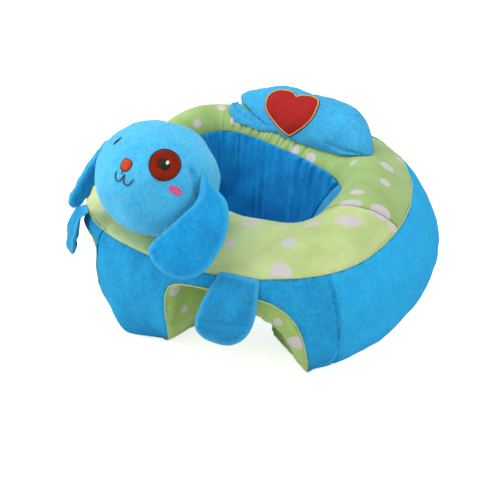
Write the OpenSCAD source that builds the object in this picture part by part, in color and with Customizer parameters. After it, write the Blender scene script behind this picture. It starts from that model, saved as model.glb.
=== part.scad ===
// Plush puppy floor seat: a stuffed ring with a seat well, two leg arches and a
// front pillar, a puppy's head on the front, two ears, two paws and a neck pillow.
// +Z is up, -Y is the front. The origin is on the floor, under the middle of the seat.

/* [Ring] */
// Width of the ring at its top seam
ring_w = 414; // [360:2:480]
// Depth of the ring from its widest line to the front seam
ring_front = 157; // [140:1:190]
// Depth of the ring from its widest line to the rear seam
ring_rear = 242; // [210:1:280]
// How far the widest line lies in front of the middle of the seat
ring_ahead = 43; // [30:1:60]
// Squareness of the ring's outline, where 2 is an ellipse
ring_power = 2.1; // [2:0.05:2.6]
// Height of the top seam at the widest line
seam_z = 136; // [120:1:160]
// Rise of the top seam towards the rear, even part
seam_rise = 22; // [10:1:30]
// Rise of the top seam towards the rear, curved part
seam_lift = 15; // [6:1:22]
// How far the stuffed wall bulges past the seam at the sides
belly_out = 28; // [16:1:36]
// How much less the wall bulges at the front, and more at the rear
belly_shift = 17; // [4:1:20]
// How far the wall is drawn in at the floor
base_in = 12; // [4:1:20]
// Height of the top panel's crown above a straight line from seam to rim
crown_h = 9; // [6:1:30]
// How much higher the crown is at the sides
crown_more = 22; // [0:1:24]
// Extra height of rim and crown at the rear right, where the ring is stuffed fuller
right_lift = 24; // [0:1:30]

/* [Seat well] */
// Width of the well at its rim
well_w = 244; // [200:2:270]
// Depth of the well from its widest line to the rear rim
well_rear = 67; // [55:1:85]
// Depth of the well from its widest line to the front rim
well_front = 57; // [45:1:70]
// Height of the rim in the middle
rim_z = 153; // [135:1:170]
// Rise of the rim towards the rear, in millimetres per 100 mm
rim_slope = 30; // [10:1:40]
// Depth of the well's foot from its widest line to the front
foot_front = 85; // [70:1:95]
// How far the lining bulges into the well
well_bulge = 6; // [0:1:10]

/* [Leg arches] */
// Height of the arches
arch_h = 109; // [90:1:112]
// Station of the arch edge beside the pillar, in degrees round the ring
arch_from = 12.5; // [11:0.5:16]
// Station of the arch edge beside the thigh block, in degrees round the ring
arch_to = 62; // [54:0.5:68]
// Stretch of the tight corner beside the pillar, in degrees
corner_run = 12; // [8:0.5:16]
// Stretch of the long curve beside the thigh block, in degrees
slope_run = 28; // [20:0.5:34]
// Height of the rounding at the foot of the pillar
foot_h = 32; // [12:1:40]
// Stretch of the rounding at the foot of the pillar, in degrees
foot_run = 8; // [2:0.5:9]
// Height of the rounding at the foot of a thigh block
block_h = 10; // [6:1:24]
// Stretch of the rounding at the foot of a thigh block, in degrees
block_run = 3; // [2:0.5:5]

/* [Cloth] */
// Thickness of the plush with its pile
plush_t = 3; // [2:0.1:3.5]
// Room between cloth and filling
slack = 0.8; // [0.5:0.1:1]
// Room between two soft pieces that move against each other
clear = 0.4; // [0.3:0.1:1]
// Station of the joining seams on the outer wall
wall_seam = 68; // [64:1:75]
// Station of the joining seams on the top panel
top_seam = 104; // [90:1:110]

/* [Seat] */
// How far the front edge of the seat lies in front of the well's middle
seat_front = 53; // [46:1:60]
// Thickness of the pad at its crown
pad_h = 18; // [10:1:26]
// Thickness of the seat's base cloth
base_t = 2.4; // [1.6:0.2:4]

/* [Head] */
// Half the width of the head
head_rx = 68; // [58:1:76]
// Half the depth of the head
head_ry = 68; // [58:1:74]
// Half the height of the head
head_rz = 62.5; // [54:0.5:68]
// Distance of the head's middle in front of the seat's middle
head_y = 162; // [150:1:172]
// Height of the head's middle above the floor
head_z = 199; // [194:1:212]
// Turn of the head to its left, in degrees
head_yaw = 12; // [-20:1:20]
// Tilt of the head towards its left shoulder, in degrees
head_roll = 13; // [-16:1:16]

/* [Face] */
// Width of the nose
nose_w = 14; // [8:1:20]
// Height of the nose
nose_h = 14; // [8:1:20]
// Bearing of each eye from the middle of the face, in degrees
eye_az = 38; // [30:1:45]
// Elevation of the eyes on the head, in degrees
eye_el = 38; // [28:1:46]
// Diameter of the eyes
eye_d = 11; // [7:1:16]
// Width of the patch round the left eye
patch_w = 33; // [22:1:40]
// Height of the patch round the left eye
patch_h = 36; // [24:1:42]
// Width of the cheek spots
cheek_w = 15; // [8:1:20]
// Thickness of the embroidery
stitch_t = 1.2; // [0.8:0.1:2]

/* [Ears] */
// Length of an ear
ear_l = 116; // [90:1:126]
// Width of an ear at its lobe
ear_w = 82; // [60:1:88]
// Width of an ear at its root
ear_root = 22; // [16:1:34]
// Thickness of an ear
ear_t = 13; // [10:0.5:15]

/* [Paws] */
// Length of a paw
paw_l = 68; // [50:1:76]
// Width of a paw at its end
paw_w = 60; // [44:1:64]
// Width of a paw at its sewn edge
paw_root = 44; // [34:1:48]
// Thickness of a paw
paw_t = 12; // [10:0.5:14]
// Station of a paw round the ring, in degrees
paw_at = 37; // [32:1:42]
// Slope of a resting paw away from the wall, in degrees
paw_slope = 28; // [22:1:34]
// How much a paw leans towards the pillar, per unit of length
paw_lean = 0.12; // [0:0.02:0.2]

/* [Neck pillow] */
// Length of the pillow
pillow_l = 232; // [180:2:250]
// Height of the pillow
pillow_h = 80; // [60:1:90]
// Thickness of the pillow
pillow_t = 50; // [30:1:60]
// Distance of its sewn edge behind the seat's middle
pillow_y = 72; // [66:1:90]
// Height of its sewn edge above the floor
pillow_z = 177; // [170:1:190]
// How far the pillow sits to the right
pillow_off = 11; // [0:1:16]
// Turn of the pillow, its left end forwards, in degrees
pillow_turn = 7; // [0:1:10]
// Tilt of the pillow, its left end down, in degrees
pillow_tilt = 5; // [0:1:8]
// Lean of the pillow back from upright, in degrees
pillow_lean = 40; // [30:1:50]
// Width of the heart patch
heart_w = 70; // [40:1:76]
// Height of the heart patch
heart_h = 62; // [36:1:66]
// Width of the heart's corded border
heart_rim = 2.4; // [1.5:0.1:4]

/* [Hidden] */
blue = "#29a3dd";
green = "#acd07c";
pale = "#bcd58d";
fill_c = "#f2f0ea";
half_w = ring_w/2;
back_in = plush_t + slack;
rear_end = 180;
wall_steps = 4;
top_steps = 6;
well_steps = 3;
roof_steps = wall_steps + well_steps + 3;
corner_power = 6;
slope_power = 2.4;
well_power = 2.4;
foot_power = 5;
crown_skew = 1.4;
crown_power = 0.75;
foot_narrow = 4;
foot_rear = 60;
well_ahead = 5;
corner_lag = 18;
lag_run = 126;
roof_sag = 3;
fuller_at = 124;
toe_power = 6;
crown_share = 0.4;
crown_side = 115;
rim_power = 3.2;

// ---- small helpers ----
function mix(a, b, k) = a + (b - a)*k;
function pw(v, p) = sign(v)*pow(abs(v), p);
function unit(v) = v/norm(v);
function steps(a, b, n) = [for (i = [0:n]) mix(a, b, i/n)];
// A square grid cell (a, b) from -1 to 1, laid onto a disc
function disc(a, b) = [a*sqrt(1 - b*b/2), b*sqrt(1 - a*a/2)];

// A closed solid between two grids of the same size, such as the two faces of a cloth.
// A cell is cut along its shorter diagonal, and the strip at an edge that two cloths
// share along the same one in both.
module sheet(face, lining, lined = false) {
  nu = len(face);
  nv = len(face[0]);
  pts = concat([for (r = face) for (p = r) p], [for (r = lining) for (p = r) p]);
  m = nu*nv;
  function id(i, j, k) = k*m + i*nv + j;
  function cut(a, b, c, d, swap) = swap ? [[a, b, d], [b, c, d]] : [[a, b, c], [a, c, d]];
  function quad(a, b, c, d) = cut(a, b, c, d, norm(pts[a] - pts[c]) > norm(pts[b] - pts[d]));
  function strip(a, b, c, d) = cut(a, b, c, d, lined);
  faces = concat(
    [for (i = [0:nu-2]) for (j = [0:nv-2])
      each quad(id(i,j,0), id(i+1,j,0), id(i+1,j+1,0), id(i,j+1,0))],
    [for (i = [0:nu-2]) for (j = [0:nv-2])
      each quad(id(i,j,1), id(i,j+1,1), id(i+1,j+1,1), id(i+1,j,1))],
    [for (i = [0:nu-2]) each strip(id(i,0,0), id(i,0,1), id(i+1,0,1), id(i+1,0,0))],
    [for (i = [0:nu-2])
      each strip(id(i,nv-1,0), id(i+1,nv-1,0), id(i+1,nv-1,1), id(i,nv-1,1))],
    [for (j = [0:nv-2]) each strip(id(0,j,0), id(0,j+1,0), id(0,j+1,1), id(0,j,1))],
    [for (j = [0:nv-2])
      each strip(id(nu-1,j,0), id(nu-1,j,1), id(nu-1,j+1,1), id(nu-1,j+1,0))]);
  polyhedron(points = pts, faces = faces, convexity = 8);
}

// ---- the ring ----
// A station is the angle round the ring, 0 at the front and growing towards +X. Depth
// is how far a surface lies under the cloth's face: 0, plush_t or back_in.
// Each station has the height of the underside there, which is over 0 in an arch.
pillar_foot = arch_from - foot_run;
thigh_foot = arch_to + block_run;
arch_corner = [for (k = [0:15:90]) [arch_from + corner_run*(1 - pow(cos(k), 2/corner_power)),
  mix(foot_h, arch_h, pow(sin(k), 2/corner_power))]];
arch_slope = [for (k = [90:-15:0]) [arch_to - slope_run*(1 - pow(cos(k), 2/slope_power)),
  mix(block_h, arch_h, pow(sin(k), 2/slope_power))]];
round_steps = [0, 30, 60];
half_stations = concat([[0, 0], [pillar_foot/2, 0]],
  [for (k = round_steps) [arch_from - foot_run*(1 - sin(k)), foot_h*(1 - cos(k))]],
  arch_corner, arch_slope,
  [for (k = [60, 30, 0]) [arch_to + block_run*(1 - sin(k)), block_h*(1 - cos(k))]],
  [[wall_seam, 0]], [for (k = [1:5]) [mix(wall_seam, top_seam, k/5), 0]],
  [for (k = [1:10]) [mix(top_seam, rear_end, k/10), 0]]);
mirrored = [for (i = [len(half_stations)-2:-1:1]) [-half_stations[i][0], half_stations[i][1]]];
// All stations from the rear, past the left side and the front, round to the rear again
stations = concat([[-rear_end, 0]], [for (p = mirrored) p], half_stations);

function between(a, b) = [for (p = stations) if (p[0] > a - 0.01 && p[0] < b + 0.01) p];

// The arch edges move apart with depth, so the filling keeps clear of the arch's lining
function spread(s, depth) = let(a = abs(s), d = depth/half_w*180/PI,
    from = pillar_foot, to = thigh_foot)
  sign(s)*(a <= from ? a*(from - d)/from
    : a <= to ? mix(from - d, to + d, (a - from)/(to - from))
    : mix(to + d, rear_end, (a - to)/(rear_end - to)));
function lag(s) = let(a = abs(s)) a > lag_run ? s
  : s - sign(s)*corner_lag*pow(sin(180*a/lag_run), 2);
function egg(s, w, front, rear, power_front, power_rear) =
  let(p = cos(s) > 0 ? power_front : power_rear)
  [w*pw(sin(s), 2/p), -(cos(s) > 0 ? front : rear)*pw(cos(s), 2/p)];
function seam_height(s) = let(k = (egg(s, half_w, ring_front, ring_rear, ring_power, ring_power)[1])
  /half_w) seam_z + seam_rise*k + seam_lift*k*k;
// A point of the outer wall at height z
function outer(s, z, depth) =
  let(e = egg(spread(s, depth), half_w, ring_front, ring_rear, ring_power, ring_power),
    r = norm(e), ahead = -e[1]/r, v = z/seam_height(s),
    off = -base_in*(1 + pow(max(0, ahead), toe_power))*(1 - v)*(1 - 2*v) + 4*(belly_out - belly_shift*ahead)*v*(1 - v),
    k = 1 + (off - depth)/r)
  [e[0]*k, e[1]*k - ring_ahead, z];
function rim_point(s) = egg(lag(s), well_w/2, well_front, well_rear, rim_power, well_power);
function fuller(s) = right_lift*pow(max(0, cos(s + fuller_at)), 2);
function rim_height(s) = rim_z + rim_slope/100*(rim_point(s)[1] - well_ahead) + fuller(s);
// A point of the well's wall at height z
function inner(s, z, depth) =
  let(t = spread(s, 2*depth), v = z/rim_height(s), top = rim_point(t),
    foot = egg(lag(t), well_w/2 - foot_narrow, foot_front, foot_rear, foot_power, well_power),
    e = mix(foot, top, v), r = norm(e),
    k = 1 + (depth - well_bulge*4*v*(1 - v))/r)
  [e[0]*k, e[1]*k - well_ahead, z];
// A point of the top panel, w from 0 at the outer seam to 1 at the rim
function panel(s, w, depth) =
  let(a = outer(s, seam_height(s) - depth, depth), b = inner(s, rim_height(s) - depth, depth),
    q = pow(w, crown_skew))
  mix(a, b, w) + [0, 0, (crown_h + crown_more*pow(sin(abs(s)*90/crown_side), 2) + crown_share*fuller(s))
    *pow(max(0, 4*q*(1 - q)), crown_power)];
// A point of the underside, r from 0 at the outer wall to 1 at the well
function under(st, r, depth) = let(z = st[1] + depth)
  mix(outer(st[0], z, depth), inner(st[0], z, depth), r)
  - [0, 0, roof_sag*st[1]/arch_h*4*r*(1 - r)];

// Height of the top panel at a place behind the well, found by halving a range of stations
function off_line(s, x, y) = let(a = outer(s, seam_height(s), 0), b = inner(s, rim_height(s), 0))
  (b[0] - a[0])*(y - a[1]) - (b[1] - a[1])*(x - a[0]);
function station_of(x, y, low, high, n) = let(m = (low + high)/2)
  n == 0 ? m : off_line(m, x, y)*off_line(low, x, y) > 0 ? station_of(x, y, m, high, n - 1)
    : station_of(x, y, low, m, n - 1);
function crown_at(x, y) = let(s = station_of(x, y, x < 0 ? -179.9 : 50, x < 0 ? -50 : 179.9, 11),
    a = outer(s, seam_height(s), 0), b = inner(s, rim_height(s), 0),
    w = ((x - a[0])*(b[0] - a[0]) + (y - a[1])*(b[1] - a[1]))/(pow(b[0] - a[0], 2) + pow(b[1] - a[1], 2)))
  w < 0 || w > 1 ? 0 : panel(s, w, 0)[2];

function wall_grid(list, depth) = [for (st = list) [for (q = steps(0, 1, wall_steps))
  outer(st[0], mix(st[1] + depth, seam_height(st[0]) - depth, q), depth)]];
function top_grid(list, depth) = [for (st = list) [for (w = steps(0, 1, top_steps))
  panel(st[0], w, depth)]];
function well_grid(list, depth) = [for (st = list) [for (q = steps(1, 0, well_steps))
  inner(st[0], mix(st[1] + depth, rim_height(st[0]) - depth, q), depth)]];
function under_grid(list, depth, n) = [for (st = list) [for (r = steps(0, 1, n)) under(st, r, depth)]];
function over_grid(list, depth) = [for (st = list) concat(
  [for (q = steps(0, 1, wall_steps))
    outer(st[0], mix(st[1] + depth, seam_height(st[0]) - depth, q), depth)],
  [for (w = [1/3, 2/3]) panel(st[0], w, depth)],
  [for (q = steps(1, 0, well_steps))
    inner(st[0], mix(st[1] + depth, rim_height(st[0]) - depth, q), depth)])];

module wall_cloth(a, b) { list = between(a, b); sheet(wall_grid(list, plush_t), wall_grid(list, 0)); }
module top_cloth(a, b) { list = between(a, b); sheet(top_grid(list, plush_t), top_grid(list, 0)); }
module well_cloth(a, b) { list = between(a, b); sheet(well_grid(list, plush_t), well_grid(list, 0)); }
module under_cloth(a, b) {
  list = between(a, b);
  sheet(under_grid(list, 0, roof_steps), under_grid(list, plush_t, roof_steps), true);
}
module stuffing(a, b) {
  list = between(a, b);
  sheet(under_grid(list, back_in, roof_steps), over_grid(list, back_in));
}

module front_wall_cover() { color(blue) wall_cloth(-wall_seam, wall_seam); }
module rear_wall_cover() {
  color(blue) {
    wall_cloth(wall_seam, rear_end);
    wall_cloth(-rear_end, -wall_seam);
  }
}
module top_cover_front() { color(pale) top_cloth(-top_seam, top_seam); }
module top_cover_rear() {
  color(green) {
    top_cloth(top_seam, rear_end);
    top_cloth(-rear_end, -top_seam);
  }
}
module well_lining_front() { color(blue) well_cloth(-top_seam, top_seam); }
module well_lining_rear() {
  color(blue) {
    well_cloth(top_seam, rear_end);
    well_cloth(-rear_end, -top_seam);
  }
}
module arch_lining_left() { color(green) under_cloth(pillar_foot, thigh_foot); }
module arch_lining_right() { color(green) under_cloth(-thigh_foot, -pillar_foot); }
module pillar_base() { color(blue) under_cloth(-pillar_foot, pillar_foot); }
module ring_base() {
  color(blue) {
    under_cloth(thigh_foot, rear_end);
    under_cloth(-rear_end, -thigh_foot);
  }
}
pillar_part = arch_corner[4][0];
thigh_part = arch_slope[2][0];
module filling_pillar() { color(fill_c) stuffing(-pillar_part, pillar_part); }
module filling_bridge_left() { color(fill_c) stuffing(pillar_part, thigh_part); }
module filling_bridge_right() { color(fill_c) stuffing(-thigh_part, -pillar_part); }
module filling_thigh_left() { color(fill_c) stuffing(thigh_part, top_seam); }
module filling_thigh_right() { color(fill_c) stuffing(-top_seam, -thigh_part); }
module filling_back() {
  color(fill_c) {
    stuffing(top_seam, rear_end);
    stuffing(-rear_end, -top_seam);
  }
}

// ---- the seat ----
// Outline of the seat, which follows the foot of the well's lining
function seat_edge(s, inset) = egg(s, well_w/2 - foot_narrow - inset, seat_front - inset,
  foot_rear - inset, foot_power, well_power) - [0, well_ahead];
module seat_base() {
  color(blue) linear_extrude(base_t)
    polygon([for (s = [-180 : 6 : 174]) seat_edge(s, 4*clear)]);
}
pad_cells = 10;
pad_hem = 1.6;
module seat_pad() {
  inset = well_bulge/2 + 2*clear;
  function at(a, b, up) = let(d = disc(a, b), k = norm(d), q = seat_edge(atan2(d[0], -d[1]), inset),
      c = [0, -well_ahead], xy = c + (q - c)*k)
    [xy[0], xy[1], base_t + clear + (up ? pad_hem + (pad_h - pad_hem)*sqrt(1 - min(1, k*k)) : 0)];
  grid = steps(-1, 1, pad_cells);
  color(blue) sheet([for (a = grid) [for (b = grid) at(a, b, false)]],
    [for (a = grid) [for (b = grid) at(a, b, true)]]);
}

// ---- the head ----
head_c = [0, -head_y, head_z];
function turned(v) = let(x = v[0]*cos(head_roll) + v[2]*sin(head_roll),
    z = v[2]*cos(head_roll) - v[0]*sin(head_roll))
  [x*cos(head_yaw) - v[1]*sin(head_yaw), x*sin(head_yaw) + v[1]*cos(head_yaw), z];
// Height of the ring's top under the head, which presses the head flat there
front_y = -ring_front - ring_ahead;
front_rim = -well_front - well_ahead;
front_seam_z = seam_height(0);
front_rim_z = rim_height(0);
function bed(y) = let(w = max(0, min(1, (front_y - y)/(front_y - front_rim))), q = pow(w, crown_skew))
  mix(front_seam_z, front_rim_z, w) + crown_h*pow(max(0, 4*q*(1 - q)), crown_power);
// A point of the head in direction d of the head's own frame, depth under its face
function head_at(d, depth) =
  let(u = unit(d),
    r = 1/norm([u[0]/(head_rx - depth), u[1]/(head_ry - depth), u[2]/(head_rz - depth)]),
    p = head_c + turned(u*r))
  [p[0], p[1], max(p[2], bed(p[1]) + head_rest + depth)];
function facing(az, el) = [sin(az)*cos(el), -cos(az)*cos(el), sin(el)];
head_cells = 10;
head_in = back_in + slack;
fill_reach = 89;
function dome(n, depth, front, reach) = let(grid = steps(-1, 1, n))
  [for (a = grid) [for (b = grid) let(d = disc(a, b), k = norm(d)*reach)
    head_at(norm(d) < 0.001 ? [0, front, 0]
      : [d[0]/norm(d)*sin(k), front*cos(k), d[1]/norm(d)*sin(k)], depth)]];
module head_front_cover() {
  color(blue) sheet(dome(head_cells, plush_t, -1, 90), dome(head_cells, 0, -1, 90));
}
module head_back_cover() {
  color(blue) sheet(dome(head_cells, 0, 1, 90), dome(head_cells, plush_t, 1, 90), true);
}
module head_filling() {
  color(fill_c) sheet(dome(head_cells, head_in, 1, fill_reach), dome(head_cells, head_in, -1, fill_reach));
}

// ---- the face: raised embroidery that follows the head ----
patch_cells = 4;
seat_gap = 0.25;
// A closed patch round a bearing, its edge given by a radius for each direction
function face_grid(az, el, w, h, n, depth, kind) = let(grid = steps(-1, 1, n), c = facing(az, el),
    side = [cos(az), sin(az), 0], up = cross(side, c))
  [for (a = grid) [for (b = grid) let(d = disc(a, b), k = kind == "nose" ? 1 + 0.22*d[1] : 1,
      r = head_rx)
    head_at(c + side*(d[0]*k*w/2/r) + up*(d[1]*h/2/r), -depth)]];
module face_patch(az, el, w, h, low, high, kind) {
  sheet(face_grid(az, el, w, h, patch_cells, high, kind), face_grid(az, el, w, h, patch_cells, low, kind));
}
nose_el = 29;
mouth_el = 14;
mouth_half = 11;
mouth_line = 1.6;
mouth_rise = 8;
module nose() { color("#c8401f") face_patch(0, nose_el, nose_w, nose_h, seat_gap, stitch_t, "nose"); }
module eye_patch() {
  color("#7a1c0c") face_patch(eye_az, eye_el, patch_w, patch_h, seat_gap, stitch_t, "");
}
eye_low = stitch_t + seat_gap;
module eye_left() { color("black") face_patch(eye_az, eye_el, eye_d, eye_d, eye_low, 2*stitch_t, ""); }
module eye_right() { color("black") face_patch(-eye_az, eye_el, eye_d*far_eye, eye_d, seat_gap, stitch_t, ""); }
glint_d = 3.4;
far_eye = 0.7;
glint_shift = 2.5;
module eye_glints() {
  color("white") {
    face_patch(eye_az + glint_shift, eye_el + glint_shift, glint_d, glint_d,
      2*stitch_t + seat_gap, 2.7*stitch_t, "");
    face_patch(-eye_az + glint_shift/2, eye_el + glint_shift, glint_d*far_eye, glint_d,
      eye_low, 1.8*stitch_t, "");
  }
}
cheek_az = 50;
cheek_el = 19;
cheek_h = 12;
module cheek_spot() { color("#e0619a") face_patch(cheek_az, cheek_el, cheek_w, cheek_h, seat_gap, stitch_t, ""); }
// Two curved strokes that hang from the nose like a w, one solid
function mouth_dir(k, off) = let(a = abs(k), x = mouth_half*(k), y = mouth_el + mouth_rise*pow(abs(2*a - 1), 2.2))
  facing(x + off[0], y + off[1]);
module mouth() {
  list = steps(-1, 1, 16);
  half = mouth_line/2/head_rx*180/PI;
  color("#5a1d14") sheet(
    [for (k = list) [for (o = [half, -half]) head_at(mouth_dir(k, [0, o]), -stitch_t)]],
    [for (k = list) [for (o = [half, -half]) head_at(mouth_dir(k, [0, o]), -seat_gap)]]);
}

// ---- flaps: ears, paws and the pillow are two cloths sewn at their edge, and a filling ----
// A flap's own frame is its root, the way down it, the way across it and the way out of it
edge_t = 0.5;
fill_edge = 0.05;
fill_hem = 1;
rest_gap = 2.3;
root_power = 2.4;
head_rest = -0.6;
neck_h = 14;
neck_drop = 6;
// Outline of an ear or a paw: x across, y from 0 at the root to 1 at the tip
function flap_half(y, root, wide, fullness, rise) =
  mix(root, wide, pow(sin(90*min(1, y/fullness)), rise))/2
    *(y > fullness ? sqrt(max(0, 1 - pow((y - fullness)/(1 - fullness), 2))) : 1);
function flap_point(f, a, b, side, depth, size) =
  let(l = size[0], t = size[3], y = (b + 1)/2, in = depth + (depth > plush_t ? fill_hem : 0),
    yy = mix(in, l - in, y), x = a*max(0.6, flap_half(y, size[1], size[2], size[4], size[6]) - in),
    long = b < 0 ? pow(1 - b*b, root_power) : 1 - pow(b, 3),
    puff = (t/2 - depth - edge_t)*pow(max(0, (1 - a*a)*long), 0.5),
    z = side*(depth > plush_t ? fill_edge : 0) + side*puff)
  f[0] + f[1]*yy + f[2]*x + f[3]*(z + size[5]*4*yy/l*(1 - yy/l));
function flap_grid(f, side, depth, size, n) = let(grid = steps(-1, 1, n))
  [for (a = grid) [for (b = steps(-1, 1, n + 2)) flap_point(f, a, b*0.998, side, depth, size)]];
flap_cells = 6;
module flap_front(f, size) {
  sheet(flap_grid(f, 1, plush_t, size, flap_cells), flap_grid(f, 1, 0, size, flap_cells));
}
module flap_back(f, size) {
  sheet(flap_grid(f, -1, 0, size, flap_cells), flap_grid(f, -1, plush_t, size, flap_cells), true);
}
module flap_filling(f, size) {
  sheet(flap_grid(f, -1, back_in, size, flap_cells), flap_grid(f, 1, back_in, size, flap_cells));
}
function frame(root, down, out) = let(d = unit(down), c = unit(cross(d, out)))
  [root, d, c, cross(c, d)];
ear_fullness = 0.68;
ear_bow = 6;
ear_size = [ear_l, ear_root, ear_w, ear_t, ear_fullness, ear_bow, 2.4];
paw_fullness = 0.7;
paw_bow = 4;
paw_off = 0.7;
paw_size = [paw_l, paw_root, paw_w, paw_t, paw_fullness, paw_bow, 1.6];

// Each ear hangs from a point on the side of the head
root_side = 56;
root_up = 30;
root_back = -6;
function ear_root_at(x) = head_c + turned([x*root_side, root_back, root_up]);
right_off = 4.8;
left_off = [10.8, 1.2, 6.6];
left_down = [16, -64, -92];
left_out = [0.60, -0.70, 0.38];
right_down = [-57, -8, -98];
right_out = [-0.78, -0.40, 0.48];
left_ear = frame(ear_root_at(1) + left_off, left_down, left_out);
right_ear = frame(ear_root_at(-1) + unit(right_out)*right_off, right_down, right_out);
module ear_left_front() { color(blue) flap_front(left_ear, ear_size); }
module ear_left_back() { color(blue) flap_back(left_ear, ear_size); }
module ear_left_filling() { color(fill_c) flap_filling(left_ear, ear_size); }
module ear_right_front() { color(blue) flap_front(right_ear, ear_size); }
module ear_right_back() { color(blue) flap_back(right_ear, ear_size); }
module ear_right_filling() { color(fill_c) flap_filling(right_ear, ear_size); }

// Each paw hangs from the ring's top seam, over an arch
function paw_frame(side) = let(p = outer(side*paw_at, seam_height(paw_at), 0),
    q = outer(side*(paw_at + 1), seam_height(paw_at + 1), 0), across = unit(q - p)*side,
    out = unit(cross(across, [0, 0, 1])), down = [0, 0, -cos(paw_slope)] + out*sin(paw_slope) - across*side*paw_lean)
  frame(p + out*paw_off + [0, 0, 1], down, out);
left_paw = paw_frame(1);
right_paw = paw_frame(-1);
module paw_left_front() { color(blue) flap_front(left_paw, paw_size); }
module paw_left_back() { color(blue) flap_back(left_paw, paw_size); }
module paw_left_filling() { color(fill_c) flap_filling(left_paw, paw_size); }
module paw_right_front() { color(blue) flap_front(right_paw, paw_size); }
module paw_right_back() { color(blue) flap_back(right_paw, paw_size); }
module paw_right_filling() { color(fill_c) flap_filling(right_paw, paw_size); }

// ---- the neck pillow ----
pillow_root = [-pillow_off, pillow_y, pillow_z];
function swung(v) = let(x = v[0]*cos(pillow_tilt) + v[2]*sin(pillow_tilt),
    z = v[2]*cos(pillow_tilt) - v[0]*sin(pillow_tilt))
  [x*cos(pillow_turn) + v[1]*sin(pillow_turn), v[1]*cos(pillow_turn) - x*sin(pillow_turn), z];
pillow_side = swung([1, 0, 0]);
pillow_up = swung([0, sin(pillow_lean), cos(pillow_lean)]);
pillow_out = swung([0, -cos(pillow_lean), sin(pillow_lean)]);
// The pillow is highest in the middle, and gathered to a narrow neck at each end
function pillow_lobe(a) = pow(max(0, 1 - pow(abs(a), 2.6)), 0.5);
function pillow_edge(a, x, end) = let(lobe = pillow_lobe(a), h = (neck_h + (pillow_h - neck_h)*lobe)/2,
    p = pillow_root + pillow_side*x + pillow_up*(pillow_h/2 - neck_drop*(1 - lobe) + end*h))
  [p[0], p[1], end < 0 ? max(p[2], crown_at(p[0], p[1]) + rest_gap) : p[2]];
function pillow_point(a, b, side, depth) =
  let(x = a*(pillow_l/2 - depth), low = pillow_edge(a, x, -1), high = pillow_edge(a, x, 1),
    h = norm(high - low)/2, q = 0.5 + b*(0.5 - depth/2/h),
    puff = (pillow_t/2 - depth - edge_t)*pow(max(0, pow(1 - b*b, 0.8)*(1 - pow(abs(a), 4))), 0.5),
    z = side*((depth > plush_t ? fill_edge : 0) + puff),
    p = mix(low, high, q) + pillow_out*z)
  [p[0], p[1], max(p[2], crown_at(p[0], p[1]) + rest_gap + depth)];
pillow_cells = 10;
function pillow_grid(side, depth, n) = let(m = n/2)
  [for (a = steps(-1, 1, n)) [for (b = steps(-1, 1, m)) pillow_point(a*0.998, b, side, depth)]];
module pillow_front_cover() {
  color(blue) sheet(pillow_grid(1, plush_t, pillow_cells), pillow_grid(1, 0, pillow_cells));
}
module pillow_back_cover() {
  color(blue) sheet(pillow_grid(-1, 0, pillow_cells), pillow_grid(-1, plush_t, pillow_cells), true);
}
module pillow_filling() {
  color(fill_c) sheet(pillow_grid(-1, back_in, pillow_cells), pillow_grid(1, back_in, pillow_cells));
}

// A point just over the front of the pillow, x across and v up from its middle line
function pillow_face(x, v, over) =
  let(a = x/(pillow_l/2), h = norm(pillow_edge(a, x, 1) - pillow_edge(a, x, -1))/2)
  pillow_point(a, v/h, 1, 0) + pillow_out*over;
heart_x = -10;
heart_v = -3;
heart_turn = 16;
heart_gap = 0.6;
heart_seam = 1.03;
// The heart curve for bearing t from the top, with a half width and half height of 1
function heart(t) = [pow(sin(t), 3), (13*cos(t) - 5*cos(2*t) - 2*cos(3*t) - cos(4*t) + 2.5)/14.5];
function heart_at(t, k, over) = let(p = heart(t)*k, x = p[0]*heart_w/2, v = p[1]*heart_h/2)
  pillow_face(heart_x + x*cos(heart_turn) - v*sin(heart_turn),
    heart_v + v*cos(heart_turn) + x*sin(heart_turn), over);
heart_cells = 8;
module heart_patch() {
  function grid(over) = [for (a = steps(-1, 1, heart_cells)) [for (b = steps(-1, 1, heart_cells))
    let(d = disc(a, b)) heart_at(atan2(d[0], d[1]), norm(d), over)]];
  color("#b30000") sheet(grid(heart_gap), grid(heart_gap + stitch_t));
}
module heart_border() {
  list = steps(-178, 178, 32);
  wider = 1 + 2*heart_rim/heart_w;
  function grid(over) = [for (t = list) [for (k = [wider, heart_seam]) heart_at(t, k, over)]];
  color("#e8b75a") sheet(grid(heart_gap + stitch_t), grid(heart_gap));
}

front_wall_cover();
rear_wall_cover();
top_cover_front();
top_cover_rear();
well_lining_front();
well_lining_rear();
arch_lining_left();
arch_lining_right();
pillar_base();
ring_base();
seat_base();
seat_pad();
filling_pillar();
filling_bridge_left();
filling_bridge_right();
filling_thigh_left();
filling_thigh_right();
filling_back();
head_front_cover();
head_back_cover();
head_filling();
nose();
mouth();
eye_patch();
eye_left();
eye_right();
eye_glints();
cheek_spot();
ear_left_front();
ear_left_back();
ear_left_filling();
ear_right_front();
ear_right_back();
ear_right_filling();
paw_left_front();
paw_left_back();
paw_left_filling();
paw_right_front();
paw_right_back();
paw_right_filling();
pillow_front_cover();
pillow_back_cover();
pillow_filling();
heart_patch();
heart_border();
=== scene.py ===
import bpy, bmesh, math
import numpy as np
from mathutils import Vector, Matrix


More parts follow.
